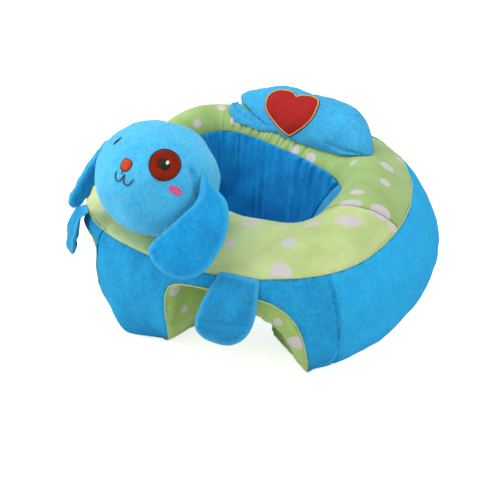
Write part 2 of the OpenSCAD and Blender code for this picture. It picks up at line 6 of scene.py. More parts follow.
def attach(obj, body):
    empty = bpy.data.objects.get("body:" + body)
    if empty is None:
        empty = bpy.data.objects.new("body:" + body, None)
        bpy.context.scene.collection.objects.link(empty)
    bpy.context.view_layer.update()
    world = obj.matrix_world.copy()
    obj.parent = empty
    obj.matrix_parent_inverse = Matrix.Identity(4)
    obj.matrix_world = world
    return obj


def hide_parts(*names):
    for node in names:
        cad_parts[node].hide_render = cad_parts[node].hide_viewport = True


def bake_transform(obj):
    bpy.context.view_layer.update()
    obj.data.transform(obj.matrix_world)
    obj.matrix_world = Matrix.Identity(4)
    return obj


# Plush puppy floor seat. Shapes are worked out in millimetres and turned to metres last.
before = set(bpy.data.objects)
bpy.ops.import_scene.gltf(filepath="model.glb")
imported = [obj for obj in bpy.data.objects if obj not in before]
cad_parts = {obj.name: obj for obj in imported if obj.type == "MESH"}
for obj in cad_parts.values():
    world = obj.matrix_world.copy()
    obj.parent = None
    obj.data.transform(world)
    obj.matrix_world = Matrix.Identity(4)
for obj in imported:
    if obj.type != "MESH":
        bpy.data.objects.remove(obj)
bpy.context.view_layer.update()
print("frame loaded")


def aimed(place, target):  # stands at a place, in metres, and looks at a target
    return Matrix.Translation(place) @ (target - place).to_track_quat("-Z", "Y").to_matrix().to_4x4()


# The camera stands 43 degrees round from the front and 26 above, as the photograph does
view = {"place": (509.6, -605.3, 451.7), "target": (2.57, -61.63, 92.0), "lens": 47.07,
        "shiftX": 0.055, "shiftY": -0.0225}
camera = bpy.data.objects.new("camera", bpy.data.cameras.new("camera"))
camera.data.lens, camera.data.sensor_width = view["lens"], 36
camera.data.shift_x, camera.data.shift_y = view["shiftX"], view["shiftY"]
camera.data.clip_start = 0.01
camera.matrix_world = aimed(Vector(view["place"])/1000, Vector(view["target"])/1000)
bpy.context.scene.collection.objects.link(camera)
bpy.context.scene.camera = camera


def linear(code, alpha=1.0):  # sRGB hex to linear colour
    c = [int(code[i:i + 2], 16)/255 for i in (1, 3, 5)]
    return [v/12.92 if v < 0.04045 else ((v + 0.055)/1.055)**2.4 for v in c] + [alpha]


def addNode(tree, kind, inputs=None, **settings):  # a node with its settings, values and links
    node = tree.nodes.new(kind)
    for k, v in settings.items():
        setattr(node, k, v)
    for k, v in (inputs or {}).items():
        if isinstance(v, bpy.types.NodeSocket):
            tree.links.new(v, node.inputs[k])
        else:
            node.inputs[k].default_value = v
    return node


def power(v, p):
    return np.sign(v)*np.abs(v)**p


def mix(a, b, k):
    return a + (b - a)*k


def share(v):
    return np.clip(v, 0, 1)


def eased(v):  # 0 to 1, slow at both ends
    return 0.5 - 0.5*np.cos(np.pi*v)


def hump(v, middle, wide):  # 1 at the middle, and falls away on both sides
    return np.exp(-((v - middle)/wide)**2)


def fade(d, reach):  # 1 at distance 0, and dies out
    return np.exp(-d/reach)


def smoothMax(a, b, k):
    return 0.5*(a + b + np.sqrt((a - b)**2 + k*k))


def unit(v):
    return v/np.maximum(np.linalg.norm(v, axis=-1, keepdims=True), 1e-9)


def col(v):
    return np.asarray(v)[..., None]


def pair(a, b):
    return np.stack([a, b], -1)


def ripples(p, size, seed, waves=14):  # soft seeded unevenness, about -1 to 1, with features of one size
    rng = np.random.default_rng(seed)
    k = unit(rng.normal(size=(waves, p.shape[-1])))*2*np.pi/size*rng.uniform(0.55, 1.45, (waves, 1))
    return np.sin(p @ k.T + rng.uniform(0, 6.28, waves)).sum(-1)/math.sqrt(waves/2)*0.7


def roll(d, radius, depth):  # how far cloth turns in at distance d from its seam
    return -depth*(1 - np.sqrt(np.maximum(0, 1 - share(1 - d/radius)**2)))


def facing(f, a, b, ea=0.05, eb=0.4):  # unit normals of the surface f(a, b)
    return unit(np.cross(f(a + ea, b) - f(a - ea, b), f(a, b + eb) - f(a, b - eb)))


def lengthsAlong(line):  # how far each point is along its line
    return np.concatenate([[0], np.cumsum(np.linalg.norm(np.diff(line, axis=0), axis=1))])


def inBlocks(work, p, size=500):  # a few points at a time, which keeps memory small
    return np.concatenate([work(p[i:i + size]) for i in range(0, len(p), size)])


def nearest(p, q):  # distance from each point of p to the nearest of q
    return inBlocks(lambda a: np.sqrt(((a[:, None, :] - q[None])**2).sum(-1)).min(1), p)


def finishMesh(bm, name, material):
    for face in bm.faces:
        face.smooth = True
    mesh = bpy.data.meshes.new(name)
    bm.to_mesh(mesh)
    bm.free()
    piece = bpy.data.objects.new(name, mesh)
    bpy.context.scene.collection.objects.link(piece)
    mesh.materials.append(material)
    return piece


# Moves the vertices to points; lengths along the cloth become its UV map, marks its attributes
def shapeMesh(bm, name, material, points, lengths=None, close=0.0, turnOver=False, **marks):
    if lengths is not None:
        uv = bm.loops.layers.uv.new("lengths")
        for face in bm.faces:
            for loop in face.loops:
                loop[uv].uv = lengths[loop.vert.index]/1000
    for mark, values in marks.items():
        layer = bm.verts.layers.float.new(mark)
        for v, d in zip(bm.verts, values):
            v[layer] = d
    for v, p in zip(bm.verts, points):
        v.co = p/1000
    if close:
        bmesh.ops.remove_doubles(bm, verts=bm.verts, dist=close/1000)
        bmesh.ops.recalc_face_normals(bm, faces=bm.faces)
    if turnOver:
        bmesh.ops.reverse_faces(bm, faces=bm.faces)
    return finishMesh(bm, name, material)


def clothGrid(across, along):  # a flat grid, and each vertex's place on it from 0 to 1
    bm = bmesh.new()
    bmesh.ops.create_grid(bm, x_segments=across, y_segments=along, size=0.5)
    flat = np.array([v.co[:2] for v in bm.verts]) + 0.5
    return bm, flat[:, 0], flat[:, 1]


def ball(around, up):
    bm = bmesh.new()
    bmesh.ops.create_uvsphere(bm, u_segments=around, v_segments=up, radius=1)
    return bm, np.array([v.co[:] for v in bm.verts])


def putOn(piece, body, slot, *nodes, fill=None, thick=0.0):
    if thick:
        wall = piece.modifiers.new("cloth", "SOLIDIFY")
        wall.thickness, wall.offset = thick/1000, -1
    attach(piece, body)
    if nodes:
        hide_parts(*nodes)


def newMaterial(name, roughness, specular):  # with its nodes, its shader and the place on the piece
    m = bpy.data.materials.new(name)
    m.use_nodes = True
    shader = m.node_tree.nodes["Principled BSDF"]
    shader.inputs["Roughness"].default_value = roughness
    shader.inputs["Specular IOR Level"].default_value = specular
    return m, m.node_tree, shader, addNode(m.node_tree, "ShaderNodeTexCoord").outputs["Object"]


def noiseAt(tree, where, size, detail=3.0, rough=0.5):  # size of its features in millimetres
    return addNode(tree, "ShaderNodeTexNoise", {"Vector": where, "Scale": 1000/size, "Detail": detail,
                                                "Roughness": rough}).outputs["Fac"]


def stretched(tree, value, low, high, start=0.0, end=1.0):  # low to high becomes start to end
    return addNode(tree, "ShaderNodeMapRange", {"Value": value, "From Min": low, "From Max": high,
                                                "To Min": start, "To Max": end}).outputs[0]


def sums(tree, operation, a, b):
    return addNode(tree, "ShaderNodeMath", {0: a, 1: b}, operation=operation).outputs[0]


def blended(tree, amount, one, two):
    return addNode(tree, "ShaderNodeMix", {0: amount, 6: one, 7: two}, data_type="RGBA").outputs[2]


def setLook(tree, shader, colour, relief, strength, depth):  # its colour, and a relief of a depth in metres
    bump = addNode(tree, "ShaderNodeBump", {"Height": relief, "Strength": strength, "Distance": depth})
    tree.links.new(colour, shader.inputs["Base Color"])
    tree.links.new(bump.outputs[0], shader.inputs["Normal"])


# Short-pile crystal velvet, knitted and brushed: a soft nap whose brushed patches
# are lighter or deeper, and a pale sheen along every rounded edge; on flaps a painted sheen also lightens the
# colour along the edge
def plush(name, face, deep, light, sheen=0.55, pile=1.0, paintedEdgeSheen=False, tint="#6fd2f7"):
    m, t, shader, where = newMaterial(name, 0.95, 0.12)
    brushed, tufts = noiseAt(t, where, 26, 3.0, 0.6), noiseAt(t, where, 3.2, 4.0, 0.7)
    nap = addNode(t, "ShaderNodeMapping", {"Vector": where, "Scale": (1, 1, 0.35)})  # the pile lies downwards
    fibres = noiseAt(t, nap.outputs[0], 1.1, 3.0, 0.75)  # real pile is finer
    base = blended(t, stretched(t, brushed, 0.36, 0.66), linear(deep), linear(face))
    tips = sums(t, "MULTIPLY", stretched(t, tufts, 0.3, 0.72), 0.42)
    colour = blended(t, tips, base, linear(light))
    if paintedEdgeSheen:  # painted sheen: the colour is lighter along a flap's edge, where grazing light shows on the pile
        rim = addNode(t, "ShaderNodeAttribute", attribute_name="edge").outputs["Fac"]
        colour = blended(t, stretched(t, rim, 0.4, 5.5, 0.75, 0.0), colour, linear(light))
    setLook(t, shader, colour, sums(t, "ADD", tufts, fibres), 0.6*pile, 0.0012)
    shader.inputs["Sheen Weight"].default_value = sheen
    shader.inputs["Sheen Roughness"].default_value = 0.45
    shader.inputs["Sheen Tint"].default_value = linear(tint)
    return m


# Soft brushed cotton-feel cloth printed with off-white dots, whose ink has a soft edge
def dottedCloth(name, face, deep, dotColour):
    m, t, shader, where = newMaterial(name, 0.9, 0.15)
    soft, fluff = noiseAt(t, where, 30, 3.0, 0.55), noiseAt(t, where, 1.6, 3.0, 0.7)
    base = blended(t, stretched(t, soft, 0.35, 0.68), linear(deep), linear(face))
    dots = addNode(t, "ShaderNodeAttribute", attribute_name="dots").outputs["Fac"]
    feathered = sums(t, "ADD", dots, sums(t, "MULTIPLY", sums(t, "SUBTRACT", fluff, 0.5), 1.6))
    colour = blended(t, stretched(t, feathered, -0.7, 0.8, 1.0, 0.0), base, linear(dotColour))
    setLook(t, shader, colour, fluff, 0.25, 0.0006)
    shader.inputs["Sheen Weight"].default_value = 0.25
    shader.inputs["Sheen Roughness"].default_value = 0.5
    return m


# Rayon satin stitch or cord: fine parallel threads, whose width is given in millimetres
def embroidery(name, face, deep, thread, rough=0.45, relief=0.5):
    m, t, shader, where = newMaterial(name, rough, 0.25)
    laid = addNode(t, "ShaderNodeMapping", {"Vector": where, "Rotation": (0, 0, 0.7)})
    rows = addNode(t, "ShaderNodeTexWave", {"Vector": laid.outputs[0], "Scale": 1000/thread/6.283*2,
                                           "Distortion": 1.2, "Detail": 2.0, "Detail Scale": 2.0},
                   wave_type="BANDS", bands_direction="Z").outputs["Fac"]
    mottled = sums(t, "MULTIPLY", rows, noiseAt(t, where, 7))
    colour = blended(t, stretched(t, mottled, 0.05, 0.45), linear(deep), linear(face))
    setLook(t, shader, colour, rows, relief, 0.0003)
    return m


# Each finish: its name, its own colour, the deeper one of its hollows and the lighter one of its tips
finish = {
    "velvet": plush("blue crystal velvet", "#18aae6", "#119cdc", "#5ccaf2", 0.35, tint="#35bdf4"),
    "frontVelvet": plush("blue crystal velvet, front", "#149fda", "#0c8cc8", "#52c2ee", 0.35, 1.4, tint="#3cbdf0"),
    "head": plush("blue crystal velvet, head", "#32bdf0", "#1eaee8", "#8edefb", 0.85, tint="#9fe4ff"),
    # ears and paws carry a painted sheen along their edges
    "ear": plush("blue crystal velvet, ears", "#0596dc", "#0284cc", "#4cc0ee", 0.4, paintedEdgeSheen=True, tint="#40bff2"),
    "paw": plush("blue crystal velvet, paws", "#128fca", "#0b78b0", "#4fb6e0", 0.4, paintedEdgeSheen=True, tint="#50c0f0"),
    "pillow": plush("blue crystal velvet, pillow", "#27a6dc", "#1a93cc", "#79cdec", 0.45),
    # painted shade: a darker copy of the blue plush, for the well's linings and the seat in its hollow
    "well": plush("blue crystal velvet, well, darkened as painted shade", "#0a92da", "#0376bc", "#35a4de", 0.15),
    "wellSide": plush("blue crystal velvet, side of the well", "#3ba4da", "#2b95cf", "#6cc4ea", 0.4),
    "lining": dottedCloth("green dotted brushed cloth, arches", "#b4d077", "#a2c266", "#d4ccc8"),
    "pale": dottedCloth("pale green dotted brushed cloth", "#c2d292", "#b2c47f", "#cbc3c1"),
    "green": dottedCloth("green dotted brushed cloth", "#a2be78", "#92b068", "#c8c1bf"),
    "nose": embroidery("orange satin stitch", "#e8511f", "#c03c14", 0.8, 0.7),
    "cord": embroidery("dark brown corded thread", "#551a10", "#2c0c07", 0.8),
    "patch": plush("red-brown felt", "#8b1f06", "#6c1404", "#a83a1c", 0.15, 0.6, tint="#c05030"),
    # painted shade: a darker brown laid over the eye patch round the eye
    "patchShade": plush("dark brown painted shade round the eye", "#5a1d10", "#3c120b", "#74301c", 0.1, 0.6, tint="#804030"),
    "black": embroidery("black satin stitch", "#141012", "#050404", 0.6, 0.6),
    "white": embroidery("white satin stitch", "#f6f6f6", "#e2e2e2", 0.6),
    "pink": plush("pink felt", "#e0609a", "#c94a86", "#f29cc2", 0.2, 0.6, tint="#f5b0d0"),
    "satin": embroidery("deep red satin", "#b0100a", "#8c0905", 0.9, 0.75, 0.2),
    "gold": embroidery("gold cord", "#ecbf62", "#c89445", 0.8, 0.6),
    "seamThread": embroidery("pale yellow-green seam thread", "#d3dc92", "#a9b668", 0.8, 0.8),
    "stitch": embroidery("dark blue sewing thread", "#1c79ab", "#155f8a", 0.8, 0.8),
}
print("materials made")

# The ring: the same outline, seam and rim as the solids, so every cloth lies where its solid is.
# Its places are stations, in degrees round from the front, left positive
ring = {"halfWidth": 207.0, "front": 157.0, "rear": 242.0, "ahead": 43.0, "squareness": 2.1,
        "seam": (136.0, 22.0, 15.0), "belly": 28.0, "bellyShift": 17.0, "floorIn": 12.0,
        "crown": 9.0, "crownSides": 22.0, "fullerRight": 24.0, "wallSeam": 68.0,
        "footFuller": 21.0, "footDrawn": 6.0, "thighDrawn": 17.0, "backFuller": 1.8}
well = {"halfWidth": 122.0, "front": 57.0, "rear": 67.0, "rim": 153.0, "slope": 0.30, "footFront": 85.0,
        "footRear": 60.0, "footHalf": 118.0, "ahead": 5.0, "bulge": 6.0, "squareness": (3.2, 2.4),
        "footSquareness": (5, 2.4), "lag": (18, 126)}
# Each arch: its near foot as stations and heights, then its far side, the same for both
arch = {"height": 109.0, "sag": 3.0, "lip": 2.8, "pad": 10.0, "roofPad": 6.0, "rightPad": 0.25, "thick": 1.2,
        "lumps": (0.8, 0.4), "wellRoll": (5, 1.6),
        "foot": (((4.5, 0), (5.6, 3), (8.4, 12), (11.5, 28), (13.1, 50), (13.4, 70), (13.5, 94),
                  (14.3, 104), (16.8, 109), (20.5, 111)),
                 ((13.6, 0), (15.2, 3), (16.5, 10), (17.0, 24), (17.0, 45), (16.9, 70), (16.9, 94),
                  (17.6, 104), (19.5, 109), (22.5, 111))),
        "far": ((27.0, 112.3), (35.0, 112.0), (42.0, 108.8), (46.8, 104.5), (50.8, 96.5), (53.3, 86),
                (55.2, 73), (56.7, 58), (58.4, 40), (60.8, 22), (62.6, 8), (65.0, 0))}
wallDegree, topDegree, wellDegree = 3.6, 3.0, 1.9  # about how long a degree of each cloth is


def egg(s, w, front, rear, powerFront, powerRear):
    a = np.radians(s)
    c = np.cos(a)
    p = np.where(c > 0, powerFront, powerRear)
    return pair(w*power(np.sin(a), 2/p), -np.where(c > 0, front, rear)*power(c, 2/p))


def ringLine(s):
    return egg(s, ring["halfWidth"], ring["front"], ring["rear"], ring["squareness"], ring["squareness"])


def seamHeight(s):
    k = ringLine(s)[..., 1]/ring["halfWidth"]
    return ring["seam"][0] + ring["seam"][1]*k + ring["seam"][2]*k*k


def outer(s, z):  # the outer wall's face at a station and height
    e = ringLine(s)
    r = np.linalg.norm(e, axis=-1)
    ahead, v = -e[..., 1]/r, z/seamHeight(s)
    belly = 4*(ring["belly"] - ring["bellyShift"]*ahead)*v*(1 - v)
    off = belly - ring["floorIn"]*(1 + np.maximum(0, ahead)**6)*(1 - v)*(1 - 2*v)
    # the pillar's far foot stands fuller, and the far thigh block draws in behind it
    off = off + (ring["footFuller"]*hump(s, -8, 8) - ring["footDrawn"]*hump(s, 8, 5))*(1 - v)**3
    off = off - ring["thighDrawn"]*hump(s, -56, 17)*np.maximum(0, 4*v*(1 - v))**0.8
    k = 1 + (off + ring["backFuller"]*hump(s, 143, 9)*v*v)/r
    return np.stack([e[..., 0]*k, e[..., 1]*k - ring["ahead"], z + 0*s], -1)


def lag(s):  # the well's corners stand further forward than the ring's sides
    turn, end = well["lag"]
    a = np.abs(s)
    return np.where(a > end, s, s - np.sign(s)*turn*np.sin(np.radians(180*np.minimum(a, end)/end))**2)


def rimLine(s):
    return egg(lag(s), well["halfWidth"], well["front"], well["rear"], *well["squareness"])


def fuller(s):
    return ring["fullerRight"]*np.maximum(0, np.cos(np.radians(s + 124)))**2


def rimHeight(s):
    return well["rim"] + well["slope"]*(rimLine(s)[..., 1] - well["ahead"]) + fuller(s)


def inner(s, z):  # the well's wall at a station and height
    v = z/rimHeight(s)
    foot = egg(lag(s), well["footHalf"], well["footFront"], well["footRear"], *well["footSquareness"])
    e = mix(foot, rimLine(s), col(v))
    e[..., 0] *= 1 - 0.5*np.exp(-(s/12)**4)*np.sqrt(share(1 - z/95))  # the pillar is narrower behind
    k = 1 - well["bulge"]*4*v*(1 - v)/np.linalg.norm(e, axis=-1)
    return np.stack([e[..., 0]*k, e[..., 1]*k - well["ahead"], z + 0*s], -1)


def crownRise(w):  # share of the crown's height between the seam at 0 and the rim at 1
    q = share(w)**1.4
    return np.maximum(0, 4*q*(1 - q))**0.75


def panel(s, w):
    up = ring["crown"] + ring["crownSides"]*np.sin(np.radians(np.abs(s)*90/115))**2 + 0.4*fuller(s)
    p = mix(outer(s, seamHeight(s)), inner(s, rimHeight(s)), col(w))
    p[..., 2] += up*crownRise(w)
    return p


def under(s, h, r):  # the underside between both walls, at height h
    p = mix(outer(s, h), inner(s, h), col(r))
    p[..., 2] -= arch["sag"]*h/arch["height"]*4*r*(1 - r)
    return p


def wrap(t):  # stations past the rear go on from the other side
    return np.where(t > 180, t - 360, t)


# Half of the underside's line: station and height, from the pillar's middle to the wall's seam
def halfLine(foot):
    corners = np.array([(foot[0][0] - 2, 0.0), *foot, *arch["far"], (67.0, 0.0)], float)
    d = lengthsAlong(corners*[3.4, 1])
    even = np.linspace(0, d[-1], 400)
    line = pair(np.interp(even, d, corners[:, 0]), np.interp(even, d, corners[:, 1]))
    for _ in range(18):  # rounds its corners
        line[1:-1] = (line[:-2] + 2*line[1:-1] + line[2:])/4
    start = pair(np.linspace(0, line[0, 0], 10)[:-1], np.zeros(9))
    return np.concatenate([start, line, [[ring["wallSeam"], 0.0]]])


def byLength(line, keepFrom, keepTo, n):  # n stations and heights of the line, an even length apart
    d = lengthsAlong(outer(line[:, 0], line[:, 1]))
    at = np.linspace(*np.interp((keepFrom, keepTo), line[:, 0], d), n)
    return np.interp(at, d, line[:, 0]), np.interp(at, d, line[:, 1])


def alongIt(u, line):  # station and height at share u of such a line
    t = np.linspace(0, 1, len(line[0]))
    return np.interp(u, t, line[0]), np.interp(u, t, line[1])


halves = [halfLine(foot) for foot in arch["foot"]]  # left, then right
whole = np.concatenate([halves[1][::-1]*[-1, 1], halves[0][1:]])
frontLine = byLength(whole, -ring["wallSeam"], ring["wallSeam"], 900)
archLine = pair(*frontLine)[frontLine[1] > 0.4].T
archPoints, wellArch = outer(*archLine), inner(*archLine)

# Printed dots of the top panels: place, half length, half width, bearing of the length; the cloth is
# stretched, so they are oval. Those in the photograph come first
dotPlaces = [(74, -89, 145, 13, 9, 43), (139, -105, 148, 8, 8, 0), (86, -139, 140, 6.5, 6.5, 0),
             (157, -140, 132, 11, 13, 43), (173, -41, 163, 16, 8, 43), (158, -21, 172, 15, 6, 50),
             (153, 0, 179, 9, 5, 45), (113, 55, 189, 9, 3, 60), (44, 61, 177, 8, 8, 0), (16, 64, 182, 7, 7, 0),
             (-83, 57, 205, 7, 7, 0), (-123, 22, 199, 6, 6, 0), (-110, 58, 217, 7, 6, 0),
             (184, 3, 161, 16, 10, 30), (162, 47, 179, 8, 6, 45), (145, 78, 185, 12, 8, 45),
             (128, 141, 175, 9, 6, 70), (140, -66, 156, 9, 5, 43), (199, 4, 147, 6, 8, 80),
             (-106, -163, 133, 6, 6, 0)]


def spreadDots(surface, low, high, seed, gap=46.0):  # more dots where the photograph doesn't reach, well apart
    rng = np.random.default_rng(seed)
    found = []
    for s, w, r in zip(rng.uniform(low, high, 900), rng.uniform(0.08, 0.92, 900), rng.uniform(6.5, 10.5, 900)):
        p = surface(np.array([s]), np.array([w]))[0]
        if all(np.linalg.norm(p - np.array(q[:3])) > gap for q in dotPlaces + found):
            found.append((*p, r, r, 0))
    return found


hidden = spreadDots(lambda s, w: panel(wrap(s), w), 105, 320, 5)
topDots = np.array(dotPlaces + [d for d in hidden if not (d[0] > 0 and d[1] < 60)])


def dotField(points, dots):  # about how far each point is from the nearest dot's edge
    gone = points[:, None, :] - dots[None, :, :3]
    long, wide, turn = dots[:, 3], dots[:, 4], np.radians(dots[:, 5])
    along = gone[..., 0]*np.cos(turn) + gone[..., 1]*np.sin(turn)
    aside = np.sqrt(np.maximum((gone**2).sum(-1) - along**2, 0))
    return ((np.sqrt((along/long)**2 + (aside/wide)**2) - 1)*np.minimum(long, wide)).min(1)


# Outer walls of blue plush, with the arches cut into the front one. A roll is how far from its
# edge the cloth turns in, and how deep
wall = {"thick": 1.5, "lumps": (0.8, 0.35), "sideFuller": 2.2, "folds": 0.7, "foldReach": 16,
        "puckers": 0.5, "archReach": 14, "seamReach": 9, "seamIn": 1.6, "seamWide": 2.6,
        "topRoll": (7, 2.6), "floorRoll": (14, 5), "archRoll": (7, 2.2), "seam": 67.0, "seamLean": 8.5}


def seamAt(z):  # the seam between them leans back toward the floor
    return wall["seam"] + wall["seamLean"]*share(1 - z/100)**2


def wallLumps(p):
    return wall["lumps"][0]*ripples(p, 70, 11) + wall["lumps"][1]*ripples(p, 24, 12)


def wallShape(s, h, v):  # from the underside's height h up to the seam
    top, along = seamHeight(s), s*wallDegree
    z = mix(h, top, eased(v))
    p, n = outer(s, z), facing(outer, s, z)
    toArch, toSeam = nearest(p, archPoints), np.abs(np.abs(s) - seamAt(z))*wallDegree
    off = wall["sideFuller"]*hump(s, 112, 38)*np.sin(np.pi*share(z/top)) + wallLumps(p)
    off = off + wall["folds"]*fade(top - z, wall["foldReach"])*ripples(pair(along, z*0.15), 13, 13)
    off = off + wall["puckers"]*fade(toArch, wall["archReach"])*ripples(p, 16, 14)
    off = off + wall["puckers"]*fade(toSeam, wall["seamReach"])*ripples(pair(z, s*0.6), 9, 15)
    off = off - wall["seamIn"]*hump(toSeam, 0, wall["seamWide"]) + roll(top - z, *wall["topRoll"])
    off = off + np.where(h < 1, roll(z, *wall["floorRoll"]), 0)
    off = off + np.where(np.abs(s) < 70, roll(toArch, *wall["archRoll"]), 0)
    return p + n*col(off), pair(along, z)


bm, u, v = clothGrid(420, 44)
frontWall = shapeMesh(bm, "frontWall", finish["frontVelvet"], *wallShape(*alongIt(u, frontLine), v))
bm, u, v = clothGrid(300, 44)
aroundRear = wrap(mix(ring["wallSeam"], 360 - ring["wallSeam"], u))
rearWall = shapeMesh(bm, "rearWall", finish["velvet"], *wallShape(aroundRear, 0*u, v))
putOn(frontWall, "seat", "blue_plush", "front_wall_cover", "filling_pillar", fill=0.85, thick=wall["thick"])
putOn(rearWall, "seat", "blue_plush", "rear_wall_cover", "filling_back", fill=0.85, thick=wall["thick"])

# Top panels of dotted cloth, crowned by the filling and gathered under the pillow
topPanel = {"thick": 1.5, "lumps": 0.8, "pleats": 0.3, "pillowPleats": 1.2, "finePleats": 1.1, "wallFolds": 0.45,
            "farFuller": 5.5, "thinner": 6.0, "wallRoll": (6, 2.4), "rimRoll": (6, 2.2), "seamRoll": (7, 2.2),
            "seam": 103.2, "seamLean": 20}
collar = {"high": 2.0, "half": (62, 50), "middle": -162, "wide": 0.12}  # the cloth is pushed up round the head


def joinAt(w):  # station of the seam between them, which runs back from the rim to the wall
    return topPanel["seam"] - topPanel["seamLean"]*share(w)**1.2


def topShape(s, v, low, high):
    w = eased(v)
    s = wrap(mix(low(w), high(w), s))
    p, n = panel(s, w), facing(panel, s, w, 0.05, 0.004)
    span = np.linalg.norm(outer(s, seamHeight(s)) - inner(s, rimHeight(s)), axis=-1)
    toWall, toRim, toJoin = w*span, (1 - w)*span, np.abs(np.abs(s) - joinAt(w))*topDegree
    rear = hump(wrap(s + 180), 12, 34)  # gathers run out from the rim below the pillow
    pleats = topPanel["pleats"] + topPanel["pillowPleats"]*rear
    pleats = pleats*ripples(pair(s*2.2, toRim*0.05), 7, 21)*fade(toRim, 9 + 22*rear) \
        + topPanel["finePleats"]*ripples(pair(s*2.2, toRim*0.08), 4.4, 24)*rear*fade(toRim, 24) \
        + topPanel["wallFolds"]*ripples(pair(s*wallDegree, toWall*0.1), 12, 22)*fade(toWall, 9)
    off = topPanel["farFuller"]*hump(s, -107, 15)*4*w*(1 - w) + topPanel["lumps"]*ripples(p, 60, 23) \
        + pleats*np.minimum(1, np.minimum(toWall, toRim)/3) + roll(toWall, *topPanel["wallRoll"]) \
        + roll(toRim, *topPanel["rimRoll"]) + roll(toJoin, *topPanel["seamRoll"])
    overArches = hump(s, 68, 22) + hump(s, -68, 22)  # where the filling is thinner
    off = off - topPanel["thinner"]*overArches*share((w - 0.35)/0.4)*share(toRim/12)
    outside = np.hypot(p[:, 0]/collar["half"][0], (p[:, 1] - collar["middle"])/collar["half"][1]) - 1
    off = off + collar["high"]*hump(np.maximum(0, outside), 0, collar["wide"])
    return p + n*col(off), pair(s*topDegree, toWall)


for name, cloth, slot, low, high, nodes in (
        ("topFront", "pale", "dotted_cotton_pale", lambda w: -joinAt(w), joinAt,
         ("top_cover_front", "filling_bridge_left", "filling_bridge_right")),
        ("topRear", "green", "dotted_plush_green", joinAt, lambda w: 360 - joinAt(w), ("top_cover_rear",))):
    bm, u, v = clothGrid(360, 52)
    points, lengths = topShape(u, v, low, high)
    top = shapeMesh(bm, name, finish[cloth], points, lengths, dots=dotField(points, topDots))
    putOn(top, "seat", slot, *nodes, fill=0.8, thick=topPanel["thick"])


# Lining of the well, which falls in soft upright folds. Its side is a panel of its own, between a
# plain corner seam and a slanting one
wellCloth = {"thick": 1.5, "lumps": 0.7, "rimRoll": (5, 1.8), "archRoll": (5, 1.6), "seamRoll": (7, 2.6),
             "corner": 104.0, "slant": 125.0, "slantRun": 42.0}


def wellShape(s, h, v, depth):
    top, q = rimHeight(s), eased(v)
    z = mix(h, top, q)
    p, n = inner(s, z), -facing(inner, s, z)
    along = s*wellDegree
    folds = ripples(pair(along, z*0.06), 12, 31)*(0.35 + 0.65*z/top) \
        + 0.4*ripples(pair(along, z*0.04), 5, 33)*(z/top)**2
    toSeam = np.abs(s - np.where(s > 0, cornerAt(q), -wellCloth["corner"]))*wellDegree
    off = wellCloth["lumps"]*ripples(p, 55, 32) + depth*folds*np.minimum(1, (top - z)/4)
    off = off + roll(top - z, *wellCloth["rimRoll"]) + roll(nearest(p, wellArch), *wellCloth["archRoll"])
    off = off + roll(toSeam, *wellCloth["seamRoll"])
    return p + n*col(off), pair(s*2.0, z)


def cornerAt(q):  # station of the slanting seam, at share q of the height
    return wellCloth["slant"] + wellCloth["slantRun"]*(1 - fade(1 - q, 0.4))


corner = wellCloth["corner"]
wellLine = byLength(np.concatenate([[[-corner, 0.0]], whole, [[corner, 0.0]]]), -corner, corner, 900)
# the front and rear linings take the darker well plush, a painted shade of the hollow
for name, cloth, across, up, depth, place, nodes in (
        ("wellFront", "well", 420, 36, 0.5, lambda u, slant: alongIt(u, wellLine), ("well_lining_front",)),
        ("wellRear", "well", 360, 40, 1.7, lambda u, slant: (wrap(mix(slant, 360 - corner, u)), 0*u),
         ("well_lining_rear",)),
        ("wellSide", "wellSide", 90, 40, 0.7, lambda u, slant: (mix(corner, slant, u), 0*u), ())):
    bm, u, v = clothGrid(across, up)
    points, lengths = wellShape(*place(u, cornerAt(eased(v))), v, depth)
    lining = shapeMesh(bm, name, finish[cloth], points, lengths, turnOver=True)
    putOn(lining, "seat", "blue_plush", *nodes, fill=0.7, thick=wellCloth["thick"])


# Linings of the arches: a padded lip outside, then the roof that runs to the well
def archShape(side, line, u, v):
    def roof(a, b):
        s, h = alongIt(a, line)
        return under(side*s, h, b)

    r = v**1.6
    s, h = alongIt(u, line)
    p, n = roof(u, r), -side*facing(roof, u, r, 0.002, 0.01)
    outside, inside = outer(side*s, h), inner(side*s, h)
    length = np.linalg.norm(outside - inside, axis=-1)
    d = r*length
    far = share((s - 22)/16)  # the thigh side is padded most
    far = far*far*(3 - 2*far)*(1.0 if side > 0 else arch["rightPad"])
    rise = (1 - fade(d, 4.5 + 2*far))*(0.25 + 0.75*fade(np.maximum(0, d - 10 - 6*far), 16 + 20*far))
    pad = (arch["lip"] + arch["pad"]*far)*rise + arch["roofPad"]*far*np.sqrt(np.maximum(0, 4*r*(1 - r)))
    less = np.interp(h, (0, 20, 50, 85, 100, 112), (0, 0.3, 0.68, 1.3, 1.65, 1.45))  # near the floor
    off = pad*mix(share(h/30), less, far) + arch["lumps"][0]*ripples(p, 30, 41)*np.minimum(1, d/12)
    off = off + arch["lumps"][1]*ripples(p, 11, 42)*fade(d, 15) + 0.8*fade(d, 10)
    off = off + roll((1 - r)*length, *arch["wellRoll"])
    inward = 0.8*fade(d, 3) - wallLumps(outside)*fade(d, 8)  # the seam lies a little inside the wall's face
    q = p + n*col(off) + unit(inside - outside)*col(inward)
    q[:, 2] = np.maximum(q[:, 2], 0.4)
    return q, pair(u*300, d)


